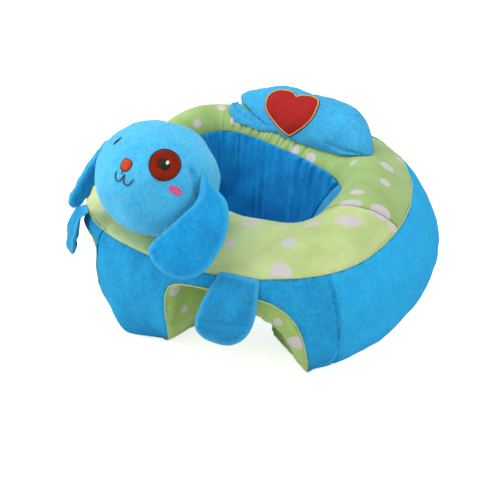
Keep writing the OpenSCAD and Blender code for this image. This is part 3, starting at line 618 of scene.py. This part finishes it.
# Places and half widths of the left arch's dots; the right arch has the mirrored ones
archDots = np.array([(x, y, z, r, r, 0) for x, y, z, r in (
    (58, -195, 97, 8.5), (53, -178, 62, 5), (168, -156, 85, 5), (184, -144, 62, 9.5), (117, -85, 26, 6),
    (100, -60, 100, 7), (90, -150, 108, 8), (46, -100, 80, 7), (140, -170, 95, 7), (45, -115, 30, 7))])
sides = (("Left", 1, halves[0], arch["foot"][0]), ("Right", -1, halves[1], arch["foot"][1]))
for word, side, half, foot in sides:
    bm, u, v = clothGrid(240, 70)
    points, lengths = archShape(side, byLength(half, foot[0][0] - 1.0, 65.5, 600), u, v)
    lining = shapeMesh(bm, "arch" + word, finish["lining"], points, lengths, turnOver=side > 0,
                       dots=dotField(points, archDots*[side, 1, 1, 1, 1, side]))
    putOn(lining, "seat", "dotted_cotton_pale", "arch_lining_" + word.lower(),
          "filling_thigh_" + word.lower(), fill=0.7, thick=arch["thick"])
print("ring covered")


# Undersides: they lie on the floor, a little rounded at their edges
def soleShape(s, v):
    p = under(s, 0*s, v)
    edge = np.minimum(v, 1 - v)*np.linalg.norm(outer(s, 0*s) - inner(s, 0*s), axis=-1)
    p[:, 2] = 0.25 - roll(edge, 14, 2.5)
    return p, pair(s*topDegree, v*90)


for name, across, low, high, node in (("pillarSole", 24, -13.6, 4.0, "pillar_base"),
                                      ("ringSole", 160, 65.0, 295.0, "ring_base")):
    bm, u, v = clothGrid(across, 24)
    sole = shapeMesh(bm, name, finish["velvet"], *soleShape(wrap(mix(low, high, u)), v), turnOver=True)
    putOn(sole, "seat", "blue_plush", node, fill=0.8)

# The seat: its base cloth, and the thin pad that the baby sits on
seatPad = {"front": 53.0, "rear": 60.0, "halfWidth": 118.0, "crown": 17.0, "hem": 2.0, "inset": 1.4,
           "low": 2.9, "baseInset": -1.5, "baseThick": 2.3}


def seatEdge(a, inset):
    e = egg(a, seatPad["halfWidth"] - inset, seatPad["front"] - inset, seatPad["rear"] - inset,
            *well["footSquareness"])
    return e - np.array([0, well["ahead"]])


for name, inset, node in (("seatBase", seatPad["baseInset"], "seat_base"),
                          ("seatPad", seatPad["inset"], "seat_pad")):
    bm, c = ball(72, 32)
    r = np.hypot(c[:, 0], c[:, 1])
    edge = seatEdge(np.degrees(np.arctan2(c[:, 0], -c[:, 1])), inset)
    middle = np.array([0, -well["ahead"]])
    flat = middle + (edge - middle)*col(r)
    top = np.maximum(c[:, 2], 0)
    if name == "seatPad":
        up = seatPad["low"] + seatPad["crown"]*top**0.9 + seatPad["hem"]*top**0.2 + 0.6*ripples(flat, 30, 51)*top
    else:
        up = seatPad["baseThick"]*(c[:, 2] + 1)/2
    # the seat's cloth takes the well's darker plush, a painted shade
    cloth = shapeMesh(bm, name, finish["well"], np.concatenate([flat, col(up)], -1), flat)
    putOn(cloth, "seat", "blue_plush", node, fill=0.7)

# The head: a stuffed ball, a little flat, that sits in the front of the ring. Its tuck is where the
# ear pulls the cloth in, between two bearings and heights in degrees
head = {"half": (68.0, 68.0, 62.5), "middle": (0.0, -162.0, 199.0), "turn": 12.0, "tilt": 13.0, "rest": -0.6,
        "lumps": (0.8, 0.3), "seamIn": 0.9, "bed": (-200, -62), "tuckFrom": (70.0, 37.0),
        "tuckTo": (74.0, 2.0), "tuckDepth": 9.0, "tuckWide": 3.8}
headSize, headMiddle = 68, np.array(head["middle"])


def turned(v, axis, degrees):  # round an upright axis, 2, or the one from front to back, 1
    a, b = [v[..., i] for i in range(3) if i != axis]
    c, n = math.cos(math.radians(degrees)), math.sin(math.radians(degrees))
    if axis == 1:
        return np.stack([a*c + b*n, v[..., 1], b*c - a*n], -1)
    return np.stack([a*c - b*n, a*n + b*c, v[..., 2]], -1)


def bed(y):  # the ring's top under the head
    w = share((head["bed"][0] - y)/(head["bed"][0] - head["bed"][1]))
    return mix(float(seamHeight(np.array(0.0))), float(rimHeight(np.array(0.0))), w) + ring["crown"]*crownRise(w)


def headAt(d, over=0.0):  # a point of the head's cloth in direction d of the head's own frame
    u = unit(d)
    r = 1/np.linalg.norm(u/np.array(head["half"]), axis=-1, keepdims=True)
    lumps = head["lumps"][0]*ripples(u*65, 50, 61) + head["lumps"][1]*ripples(u*65, 15, 62)
    p = headMiddle + turned(turned(u*(r + col(lumps + over)), 1, head["tilt"]), 2, head["turn"])
    p[..., 2] = smoothMax(p[..., 2], bed(p[..., 1]) + head["rest"], 2.5)
    return p


def looking(az, el):
    az, el = np.radians(az), np.radians(el)
    return np.stack([np.sin(az)*np.cos(el), -np.cos(az)*np.cos(el), np.sin(el) + 0*az], -1)


bm, c = ball(220, 140)
backSeam = -head["seamIn"]*hump(c[:, 0]*65, 0, 2.2)*share(c[:, 1]*2 + 0.3)  # over the back of the head
start, end = looking(*head["tuckFrom"]), looking(*head["tuckTo"])
k = share(((unit(c) - start) @ (end - start))/((end - start) @ (end - start)))
away = np.linalg.norm(unit(c) - (start + (end - start)*col(k)), axis=-1)*headSize
tuck = -head["tuckDepth"]*hump(away, 0, head["tuckWide"])*(0.3 + 0.7*np.sin(np.pi*share(k*0.8 + 0.2)))
headCloth = shapeMesh(bm, "headPlush", finish["head"], headAt(c, backSeam + tuck), c[:, :2]*65)
putOn(headCloth, "seat", "blue_plush", "head_front_cover", "head_back_cover", "head_filling", fill=0.9)

# The face, embroidered and appliqued on the head, with a painted shade round the eye: bearing and height in
# degrees, then sizes in mm and a turn in degrees
face = {"nose": (-4.0, 30.6, 11.6, 13.0), "patch": (37.5, 41.5, 33.0, 36.0, -22.0),
        "eye": (37.5, 41.0, 11.0, 12.5), "farEye": (-41.0, 41.5, 4.0, 13.0, 8.0),
        "cheek": (50.0, 19.2, 18.0, 10.0, -26.0),
        "mouth": (-0.5, 21.6, 11.0, 9.2), "drop": (-6.0, -10.5), "shade": (34.5, 42.0, 19.0, 18.0, 20.0),
        "glint": (40.1, 42.6, 3.6, 5.2, -20.0), "farGlint": (-41.9, 43.5, 0.8, 2.2)}


def onFace(az, el, x, y, over):  # x and y in millimetres from a bearing, over the cloth
    c = looking(az, el)
    side = np.array([math.cos(math.radians(az)), math.sin(math.radians(az)), 0])
    return headAt(c + side*col(x/headSize) + np.cross(c, side)*col(y/headSize), over)


def oval(w, h, turn=0.0, wider=0.0, square=2.0):  # outline by angle from the top; wider at its upper end
    def line(a):
        x, y = w/2*power(np.sin(a), 2/square)*(1 + wider*np.cos(a)), h/2*power(np.cos(a), 2/square)
        c, n = math.cos(math.radians(turn)), math.sin(math.radians(turn))
        return x*c - y*n, x*n + y*c
    return line


def sewnPatch(name, finishName, place, outline, high, base=-0.4, edge=7.0):
    bm, c = ball(72, 40)
    r = np.hypot(c[:, 0], c[:, 1])
    x, y = outline(np.arctan2(c[:, 0], c[:, 1]))
    over = np.where(c[:, 2] >= 0, base + (high - base)*(1 - r**edge), base - 0.3*(1 - r))
    over = over + 0.08*ripples(c*20, 5, 71)*(r < 0.9)
    return shapeMesh(bm, name, finish[finishName], onFace(*place[:2], x*r, y*r, over))


def cordOn(name, finishName, line, thick, out=None, around=8):  # a sewn cord along a line, as a closed tube
    n = len(line)
    bm, u, v = clothGrid(n - 1, around)
    i = np.rint(u*(n - 1)).astype(int)
    closed = np.linalg.norm(line[0] - line[-1]) < 0.01
    ahead = unit(np.gradient(line, axis=0))
    if closed:
        ahead[0] = ahead[-1] = unit(line[1] - line[-2])
    out = unit(line - headMiddle) if out is None else np.broadcast_to(out, line.shape)
    across = unit(np.cross(ahead, out))
    out = np.cross(across, ahead)
    a = 2*np.pi*v
    end = 1 if closed else np.sqrt(share(np.minimum(u, 1 - u)*(n - 1)/2))
    p = line[i] + (across[i]*col(np.cos(a)) + out[i]*col(np.sin(a)))*col(thick/2*end)
    return shapeMesh(bm, name, finish[finishName], p, pair(u*n, a), close=0.02)


# A row of single stitches along a line, each a short bar of five-sided loops
def stitched(name, finishName, line, out, thick, every=3.2, covers=0.6):
    d = lengthsAlong(line)
    joined = bmesh.new()
    for start in np.arange(0.4, d[-1] - every, every):
        at = start + np.linspace(0, every*covers, 4)
        p = np.stack([np.interp(at, d, line[:, i]) for i in range(3)], -1)
        up = unit(np.array([np.interp(start, d, out[:, i]) for i in range(3)]))
        across = np.cross(unit(p[-1] - p[0]), up)
        loops = []
        for q, wide, lift in zip(p, (0.55, 1, 1, 0.55), (0.2, 1, 1, 0.2)):  # the ends dip into the cloth
            middle, half = q + up*(0.35*thick*lift), thick/2*wide
            loops.append([joined.verts.new(tuple((middle + half*(across*math.cos(t) + up*math.sin(t)))/1000))
                          for t in np.arange(5)*2*math.pi/5])
        for one, two in zip(loops, loops[1:]):
            for k in range(5):
                joined.faces.new((one[k], one[(k + 1) % 5], two[(k + 1) % 5], two[k]))
        joined.faces.new(loops[0][::-1])
        joined.faces.new(loops[-1])
    bmesh.ops.recalc_face_normals(joined, faces=joined.faces)
    return finishMesh(joined, name, finish[finishName])


# Name, finish, place on the face, outline, height over the cloth, other settings, slot, node and rim.
# A rim has its name, growth, height over the cloth, thickness and slot
turn = np.linspace(0, 2*np.pi, 91)
noseForm, patchForm = oval(*face["nose"][2:], 0.0, 0.12, 2.7), oval(*face["patch"][2:], 0.05)
for name, cloth, part, form, high, settings, slot, nodes, rim in (
        ("nose", "nose", "nose", noseForm, 1.5, {}, "orange_embroidery", ("nose",),
         ("noseRim", 1.0, 0.2, 0.9, "dark_thread")),
        ("eyePatch", "patch", "patch", patchForm, 1.0, {"edge": 12.0}, "brown_felt", ("eye_patch",),
         ("eyePatchRim", 1.01, 0.3, 1.1, "brown_felt")),
        # painted shade: a dark brown oval over the patch round the eye, mostly to its left
        ("eyePatchShade", "patchShade", "shade", None, 1.25, {"base": 0.5, "edge": 3.0}, "brown_felt", (), None),
        ("eyeLeft", "black", "eye", None, 2.3, {"base": 0.6}, "black_embroidery", ("eye_left",), None),
        ("eyeRight", "black", "farEye", None, 1.0, {}, "black_embroidery", ("eye_right",), None),
        ("glintLeft", "white", "glint", None, 2.75, {"base": 1.8}, "white_embroidery", ("eye_glints",), None),
        ("glintRight", "white", "farGlint", None, 1.3, {"base": 0.6}, "white_embroidery", ("eye_glints",), None),
        ("cheek", "pink", "cheek", None, 0.9, {"edge": 5.0}, "pink_felt", ("cheek_spot",), None)):
    patch = sewnPatch(name, cloth, face[part], form or oval(*face[part][2:]), high, **settings)
    putOn(patch, "seat", slot, *nodes)
    if rim:
        rimName, grown, over, thick, rimSlot = rim
        line = onFace(*face[part][:2], *[w*grown for w in form(turn)], over)
        putOn(cordOn(rimName, "cord", line, thick), "seat", rimSlot)
hooks = np.linspace(-1, 1, 121)  # the mouth: two round hooks that hang from below the nose
low = face["mouth"][3]*(np.abs(2*np.abs(hooks) - 1)**3 - 1) + 1.5
mouth = onFace(*face["mouth"][:2], face["mouth"][2]*hooks, low, 0.35)
drop = onFace(*face["nose"][:2], np.zeros(30), np.linspace(*face["drop"], 30), 0.35)
putOn(cordOn("mouth", "cord", mouth, 1.2), "seat", "dark_thread", "mouth")
putOn(cordOn("mouthDrop", "cord", drop, 1.1), "seat", "dark_thread")

# Piping and seams of the ring
piping = {"thick": 1.7, "in": 0.8, "archThick": 1.8, "archIn": 0.6, "stitchThick": 0.7, "stitchIn": 0.2}
stations = np.linspace(-180, 180, 361)
top = outer(stations, seamHeight(stations))
edgeOut = unit(facing(outer, stations, seamHeight(stations))
               + facing(panel, stations, 0*stations + 0.02, 0.05, 0.004))
topPiping = cordOn("topPiping", "seamThread", top + edgeOut*col(wallLumps(top) - piping["in"]), piping["thick"],
                   out=edgeOut)
putOn(topPiping, "seat", "dotted_cotton_pale")
for word, side, half, foot in sides:
    cut = (half[half[:, 1] > 0.6]*[side, 1]).T
    line, out = outer(*cut), facing(outer, *cut)
    line = line + out*col(wallLumps(line) - piping["archIn"])
    edging = cordOn("archPiping" + word, "seamThread", line, piping["archThick"], out=out)
    putOn(edging, "seat", "dotted_cotton_pale")
for word, side, half, foot in sides:
    z = np.linspace(12, 126, 90)
    line, out = outer(seamAt(z)*side, z), facing(outer, seamAt(z)*side, z)
    row = stitched("wallStitch" + word, "stitch", line - piping["stitchIn"]*out, out, piping["stitchThick"])
    putOn(row, "seat", "blue_plush")
print("head and face made")

# Ears and paws: flat flaps, lightly stuffed, sewn on by their upper edge. Outlines are
# across and down from the root, in the flap's own frame
ear = {"outline": [(5, -14), (5, -3), (4, 10), (5, 34), (15, 53), (27, 72), (36, 88), (35, 98), (24, 108),
                   (9, 113), (-9, 111), (-24, 98), (-32, 75), (-34, 55), (-31, 38), (-24, 22), (-14, 4),
                   (-6, -12)],
       "thick": 12.0, "round": 17.0, "bow": 6.0, "length": 116.0, "sewn": 30.0, "bend": (-6, 26), "paintedSheenReach": 60,
       "gather": 0.9, "lumps": 0.9}
paw = {"outline": [(20, 0), (8, -1), (-8, -1), (-20, 0), (-23, 14), (-25, 30), (-25, 42), (-22, 55), (-15, 65),
                   (-4, 71), (10, 71.5), (22, 69.5), (31, 63), (34, 52), (32, 38), (28, 22), (23, 8)],
       "thick": 11.0, "round": 14.0, "bow": 4.0, "length": 68.0, "sewn": 0.0, "fold": 1.6, "paintedSheenReach": 24,
       "gather": 0.9, "lumps": 0.9}
# Where each is sewn on: its root, and its directions down, across and out
flapFrames = {
    "ear_left": ((72.02, -153.92, 222.23), (0.1413, -0.5653, -0.8127), (-0.7978, -0.5511, 0.2446),
                 (0.5861, -0.6138, 0.5289)),
    "ear_right": ((-49.27, -179.73, 243.13), (-0.5015, -0.0704, -0.8623), (-0.3789, 0.9139, 0.1458),
                  (-0.7777, -0.3999, 0.4850)),
    "paw_left": ((127.97, -170.34, 129.15), (0.1288, -0.4631, -0.8769), (-0.8591, -0.4937, 0.1345),
                 (0.4952, -0.7361, 0.4615)),
    "paw_right": ((-127.97, -170.34, 129.15), (-0.1288, -0.4631, -0.8769), (-0.8591, 0.4937, -0.1345),
                  (-0.4952, -0.7361, 0.4615))}


def smoothLoop(points, closer=8):  # a closed smooth line through points
    p = np.array(points, float)
    t = np.arange(closer)[:, None]/closer
    line = []
    for k in range(len(p)):
        a, b, c, d = p[k - 1], p[k], p[(k + 1) % len(p)], p[(k + 2) % len(p)]
        line.append(0.5*((2*b) + (c - a)*t + (2*a - 5*b + 4*c - d)*t*t + (3*b - a - 3*c + d)*t**3))
    return np.concatenate(line)


def laidOnHead(p, flat, edge, above):  # the top of an ear lies on the head and is sewn down to it
    own = turned(turned(p - headMiddle, 2, -head["turn"]), 1, -head["tilt"])
    cloth = np.where(above, 0.8 + 1.8*np.minimum(1, edge/6)*share((flat[:, 1] + 12)/16), -1.5)
    near = share(1 - (flat[:, 1] + 2)/ear["sewn"])
    return mix(p, headAt(own, cloth - 1.6*share(-flat[:, 1]/6)), col(near*near*(3 - 2*near)))


# A flap's outline may be narrower on one side and shorter, and its form bowed, tipped or lifted more
def flap(name, form, body, side, seed, narrow=1.0, short=1.0, bow=0.0, tip=0.0, lift=0.0):
    root, down, across, out = [np.array(v) for v in flapFrames[body]]
    line = smoothLoop(form["outline"])
    line = line*pair(np.where(line[:, 0] > 0, narrow, 1.0)*side, short + 0*line[:, 0])
    bottom, top = line[:, 1].max(), line[:, 1].min()
    first = np.roll(line, -line[:, 1].argmin(), 0)
    cut = first[:, 1].argmax()
    one, two = first[:cut + 1], np.concatenate([first[cut:], first[:1]])[::-1]
    bm, c = ball(144, 72)
    along = (c[:, 1] + 1)/2
    y = mix(top, bottom, 0.35*eased(along) + 0.65*along)
    xa, xb = np.interp(y, one[:, 1], one[:, 0]), np.interp(y, two[:, 1], two[:, 0])
    half = np.sqrt(np.maximum(1 - c[:, 1]**2, 1e-9))
    flat = pair(mix(np.minimum(xa, xb), np.maximum(xa, xb), 0.5 + 0.5*np.clip(c[:, 0]/half, -1, 1)), y)
    edge, k = nearest(flat, line), share(y/form["length"])
    puff = form["thick"]/2*np.sqrt(1 - (1 - np.minimum(edge/form["round"], 1))**2)*(0.3 + 0.7*share(k*2.4))
    closest = ((flat[:, None] - line[None])**2).sum(-1).argmin(1)
    gather = form["gather"]*ripples(line, 8, seed)[closest]*fade(edge, 7)*np.minimum(1, edge/2)
    z = np.sign(c[:, 2])*puff + gather + form["lumps"]*ripples(flat, 26, seed + 1)*np.minimum(1, edge/8) \
        + (form["bow"] + bow)*4*k*(1 - k) + tip*k*k + lift*share(k*7)*(1 - k)
    if not form["sewn"]:  # a soft fold across the lower part of the paw
        fold = hump(flat[:, 1] - 0.7*bottom - 0.12*flat[:, 0], 0, 3)*np.minimum(1, edge/9)
        z = z - form["fold"]*fold*np.sign(c[:, 2])
    p = root + down*col(y) + across*col(flat[:, 0]) + out*col(z)
    if form["sewn"]:
        p = laidOnHead(p, flat, edge, c[:, 2] > 0)
    # painted edge sheen: how far in from the outline the colour is lightened; near the root the lightened band
    # spreads over the flap's top
    rim = edge*np.clip((y + 16)/form["paintedSheenReach"], 0.02, 1)
    return shapeMesh(bm, name, finish[name[:3]], p, flat, edge=rim)


for name, form, body, side, seed, changes in (
        ("earLeft", ear, "ear_left", 1, 81, {}),
        ("earRight", ear, "ear_right", -1, 83, {"narrow": 0.85, "bow": 2.0, "tip": 5.0}),
        ("pawLeft", paw, "paw_left", 1, 85, {}),
        ("pawRight", paw, "paw_right", -1, 87, {"short": 0.81, "bow": -1.0, "tip": -5.0, "lift": 7.5})):
    piece = flap(name, form, body, side, seed, **changes)
    nodes = (body + "_front", body + "_back", body + "_filling")
    if form["sewn"]:  # the sewn end stays on the head, and the ear stays fixed in place, riding no body
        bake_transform(piece)
        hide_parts(*nodes)
    else:
        putOn(piece, body, "blue_plush", *nodes, fill=0.45)
print("ears and paws made")

# The neck pillow: plump, tucked to a flat flange at its right end, where x is lowest, with a hem
# along its foot. Its upper and lower edges are heights along it, in mm from its root
pillow = {"thick": 50.0, "root": (-11.0, 72.0, 177.0), "side": (0.9888, -0.1214, -0.0872),
          "up": (0.1446, 0.6299, 0.7631), "out": (-0.0378, -0.7672, 0.6403), "ends": (-112.0, 131.0),
          "upper": ((-112, 37), (-110, 40), (-103, 48), (-87, 60), (-66, 73), (-49, 81), (-30, 84), (-9, 82.5),
                    (15, 84), (35, 87), (58, 87.5), (79, 84), (95, 75.5), (112, 60), (121, 50), (128, 42),
                    (131, 34)),
          "lower": ((-112, 35), (-106, 32), (-100, 26), (-92, 18), (-83, 11), (-74, 8), (7, 9), (39, 13), (77, 16),
                    (96, 16), (118, 21), (131, 26)),
          "crease": ((-111.0, 40.0), (0.733, 0.68)), "notch": 4.0, "notchIn": 1.8, "hem": 3.4, "square": 0.85,
          "lumps": (1.2, 0.5), "pulled": (0.9, 0.8)}
pillowRoot = np.array(pillow["root"])
pillowSide, pillowUp, pillowOut = [unit(np.array(pillow[k])) for k in ("side", "up", "out")]
rearStations = np.concatenate([np.linspace(100, 180, 81), np.linspace(-179, -100, 80)])
crownGrid = panel(*[g.ravel() for g in np.meshgrid(rearStations, np.linspace(0, 1, 41))])


def crownHeights(p):
    d = ((p[:, None, :2] - crownGrid[None, :, :2])**2).sum(-1)
    near = np.argpartition(d, 4, axis=1)[:, :4]
    d = np.take_along_axis(d, near, 1)
    w = (d < 60)/(d + 1.0)
    total = w.sum(1)
    return np.where(total > 0, (crownGrid[near, 2]*w).sum(1)/np.maximum(total, 1e-9), 0)


def crownAt(p):  # height of the ring's top at places behind the well, or 0 beside it
    return inBlocks(crownHeights, p)


def edgesAt(x):
    spread = x[:, None] + np.array([-6, -3, 0, 3, 6])
    low, high = [np.interp(spread, *np.array(pillow[k]).T).mean(1) for k in ("lower", "upper")]
    return low, high - 3*hump(x, pillow["notch"], 4)


def pillowAt(x, b, z, over=0.0, close=1.0):  # x along in mm, b up from -1 to 1, z out from -1 to 1
    low, high = edgesAt(x)
    v = (low + high)/2 + b*(high - low)/2*close
    at, n = pillow["crease"]
    e = (x - at[0])*n[0] + (v - at[1])*n[1]  # distance past the slanting tuck
    tucked = np.sqrt(1 - (1 - share((e + 0.5)/26))**2)
    plain = np.maximum(0, 1 - share((x - 10)/119)**4.5)**0.5
    puff = np.maximum(pillow["thick"]/2*tucked*plain, 1.7)
    lumpy = np.stack([x, v, z*20], -1)
    shape = pillow["lumps"][0]*ripples(lumpy, 58, 92) + pillow["lumps"][1]*ripples(lumpy, 20, 93) \
        + pillow["pulled"][0]*ripples(pair(x*0.9 + v*0.5, v*0.12), 9, 94)*fade(np.maximum(0, 126 - x), 16) \
        + pillow["pulled"][1]*ripples(pair(x*0.12, v), 8, 95)*fade(np.maximum(0, e), 14)  # pulled in at both ends
    seams = -2.6*hump(e, 0, 1.9) - 1.6*hump(e, -7, 1.6) + 1.2*hump(e, -3.6, 1.8) \
        - pillow["hem"]*hump(v - low - 9 + 0.04*(x - 90), 0, 1.7)*share((x - 70)/14)*share((128 - x)/6) \
        - pillow["notchIn"]*hump(x + 0.35*(high - v), pillow["notch"], 3)*fade(high - v, 14)
    raised = over + shape*share(puff/8) + seams*(np.abs(z) > 0.25)
    z = z*puff + np.sign(z)*raised*share(np.abs(z)*3)*close
    p = pillowRoot + pillowSide*col(x) + pillowUp*col(v) + pillowOut*col(z*close)
    lies = crownAt(p) + 2.0 + 0.6*over
    p[:, 2] = np.where(lies > 50, smoothMax(p[:, 2], lies, 1.0), p[:, 2])
    return p


bm, u, v = clothGrid(190, 96)
x = mix(mix(*pillow["ends"], eased(u)), mix(*pillow["ends"], u), 0.5)
t = 2*np.pi*v
b, z = -np.cos(t), power(np.sin(t), pillow["square"])
shut = np.sqrt(np.maximum(0, 1 - np.abs(2*u - 1)**40))  # both ends are closed
points = pillowAt(x, b*(1 - 0.012*hump(z, 0, 0.1)), z, 0.0, shut)
neckPillow = shapeMesh(bm, "neckPillow", finish["pillow"], points, pair(x, t*20), close=0.3)
putOn(neckPillow, "neck_pillow", "blue_plush", "pillow_front_cover", "pillow_back_cover", "pillow_filling",
      fill=0.8)

# The flat end of its seam, folded over twice, lies on the ring beside it. Its two edges run
# from the tip: along, up and out in the pillow's own frame
flange = {"outer": ((-91, 15, 33), (-85, 7, 36), (-71, 0, 32), (-56, 2, 26), (-38, 3, 19), (-24, 7, 14),
                    (-13, 12, 10)),
          "inner": ((-87, 25, 26), (-76, 23, 26), (-63, 20, 23), (-48, 16, 19), (-34, 12, 15), (-12, 13, 9)),
          "fold": 4.2, "above": 0.8, "thick": 1.4}
bm, u, v = clothGrid(110, 40)
edges = []
for key in ("outer", "inner"):
    e = np.array(flange[key], float)
    edges.append(np.stack([np.interp(u, np.linspace(0, 1, len(e)), e[:, i]) for i in range(3)], -1))
points = pillowRoot + mix(*edges, col(v)) @ np.stack([pillowSide, pillowUp, pillowOut])
folds = flange["fold"]*np.abs(np.sin(np.pi*(v*2.2 + 0.2*u)))**0.6*np.minimum(1, np.minimum(v, 1 - v)*9)
folds = folds + 0.5*ripples(pair(u*90, v*12), 9, 96)
lies = crownAt(points)
points[:, 2] = np.where(lies > 50, lies, points[:, 2]) + flange["above"] + folds
pillowFlange = shapeMesh(bm, "pillowFlange", finish["pillow"], points, pair(u*90, v*14), turnOver=True)
putOn(pillowFlange, "seat", "blue_plush", thick=flange["thick"])

# The heart on its front, a little asymmetric as it is sewn; its outline is along and up in mm
heart = {"rim": 1.7, "rimOut": 0.9, "edge": 1.0, "edgeOut": 2.2, "sharp": (0, 9),
         "outline": ((-8, 65.1), (-7, 67.1), (-2, 70.6), (8, 73.6), (23, 72.6), (31, 68.1), (36, 57.7), (37, 41.3),
                     (26, 26.9), (11, 16.4), (-8, 20.4), (-25, 26.9), (-37, 33.3), (-44, 41.3), (-49, 54.2),
                     (-45, 62.2), (-38, 67.6), (-25, 70.1), (-15, 68.6))}
corners = np.array(heart["outline"], float)
heartLoop = smoothLoop(corners)
for k in heart["sharp"]:  # the cleft and the point stay sharp
    for j in range(1, 8):
        for way in (1, -1):
            i = (k*8 + j*way) % len(heartLoop)
            straight = mix(corners[k], corners[(k + way) % len(corners)], j/8)
            heartLoop[i] = mix(heartLoop[i], straight, 0.55*(1 - j/8))


def onPillow(flat, over):  # on the front of the pillow, along and up in mm
    low, high = edgesAt(flat[:, 0])
    b = np.clip((flat[:, 1] - (low + high)/2)/((high - low)/2), -0.999, 0.999)
    return pillowAt(flat[:, 0], b, np.sin(np.arccos(-b))**pillow["square"], over)


heartMiddle = corners.mean(0)
bm, c = ball(len(heartLoop), 40)
r, t = np.hypot(c[:, 0], c[:, 1]), np.arctan2(c[:, 1], c[:, 0])
i = np.rint(t/(2*np.pi)*len(heartLoop)).astype(int) % len(heartLoop)
flat = heartMiddle + (heartLoop[::-1][i] - heartMiddle)*col(r)  # the outline runs the other way round
points = onPillow(flat, np.where(c[:, 2] >= 0, 1.3*(1 - r**10) + 0.3, 0.1))
heartPatch = shapeMesh(bm, "heartPatch", finish["satin"], points, flat)
putOn(heartPatch, "neck_pillow", "red_satin", "heart_patch")
away = np.concatenate([heartLoop, heartLoop[:1]]) - heartMiddle
for name, cloth, grown, over, thick, slot, nodes in (
        ("heartBorder", "gold", heart["rimOut"], 0.7, heart["rim"], "gold_thread", ("heart_border",)),
        ("heartEdge", "cord", heart["edgeOut"], 0.2, heart["edge"], "dark_thread", ())):
    line = onPillow(heartMiddle + away*(1 + grown/np.linalg.norm(away, axis=1, keepdims=True)), over)
    putOn(cordOn(name, cloth, line, thick, out=pillowOut), "neck_pillow", slot, *nodes)
print("pillow and heart made")

# Floor and light: a pale floor that keeps the shadow, white behind, soft light from above
studio = {"floor": "#e2e2e2", "glow": 0.75, "world": "#f2f5f8", "strength": 0.56, "aim": (0, -0.05, 0.12),
          "lamps": {"key": ((-0.4, -0.3, 1.6), 1.1, 13.0), "fill": ((1.5, 0.1, 0.9), 1.2, 9.0),
                    "low": ((-1.3, -1.3, 0.8), 1.3, 20.0)}}  # place, size and watts
bm = bmesh.new()
bmesh.ops.create_grid(bm, x_segments=1, y_segments=1, size=6)
bmesh.ops.translate(bm, verts=bm.verts, vec=(0, 0, -0.0006))
paper, t, shader, _ = newMaterial("white paper floor", 0.9, 0.5)
shader.inputs["Base Color"].default_value = linear(studio["floor"])
glow = addNode(t, "ShaderNodeEmission", {"Color": (1, 1, 1, 1), "Strength": studio["glow"]})
both = addNode(t, "ShaderNodeAddShader", {0: shader.outputs[0], 1: glow.outputs[0]})
seen = addNode(t, "ShaderNodeLightPath")
pick = addNode(t, "ShaderNodeMixShader", {0: seen.outputs["Is Camera Ray"], 1: shader.outputs[0],
                                          2: both.outputs[0]})
t.links.new(pick.outputs[0], t.nodes["Material Output"].inputs["Surface"])
finishMesh(bm, "floor", paper)

world = bpy.data.worlds.new("studio")
bpy.context.scene.world = world
world.use_nodes = True
t = world.node_tree
seen = addNode(t, "ShaderNodeLightPath")
soft = addNode(t, "ShaderNodeBackground", {"Color": linear(studio["world"]), "Strength": studio["strength"]})
white = addNode(t, "ShaderNodeBackground", {"Color": (1, 1, 1, 1), "Strength": 1.0})
shown = sums(t, "MAXIMUM", seen.outputs["Is Camera Ray"], seen.outputs["Is Glossy Ray"])
shown = sums(t, "MAXIMUM", shown, seen.outputs["Is Transmission Ray"])
pick = addNode(t, "ShaderNodeMixShader", {0: shown, 1: soft.outputs[0], 2: white.outputs[0]})
t.links.new(pick.outputs[0], t.nodes["World Output"].inputs["Surface"])
for name, (place, size, energy) in studio["lamps"].items():
    lamp = bpy.data.objects.new(name, bpy.data.lights.new(name, "AREA"))
    lamp.data.size, lamp.data.energy = size, energy
    lamp.matrix_world = aimed(Vector(place), Vector(studio["aim"]))
    bpy.context.scene.collection.objects.link(lamp)
bpy.context.scene.view_settings.view_transform = "Standard"

print("scene ready")
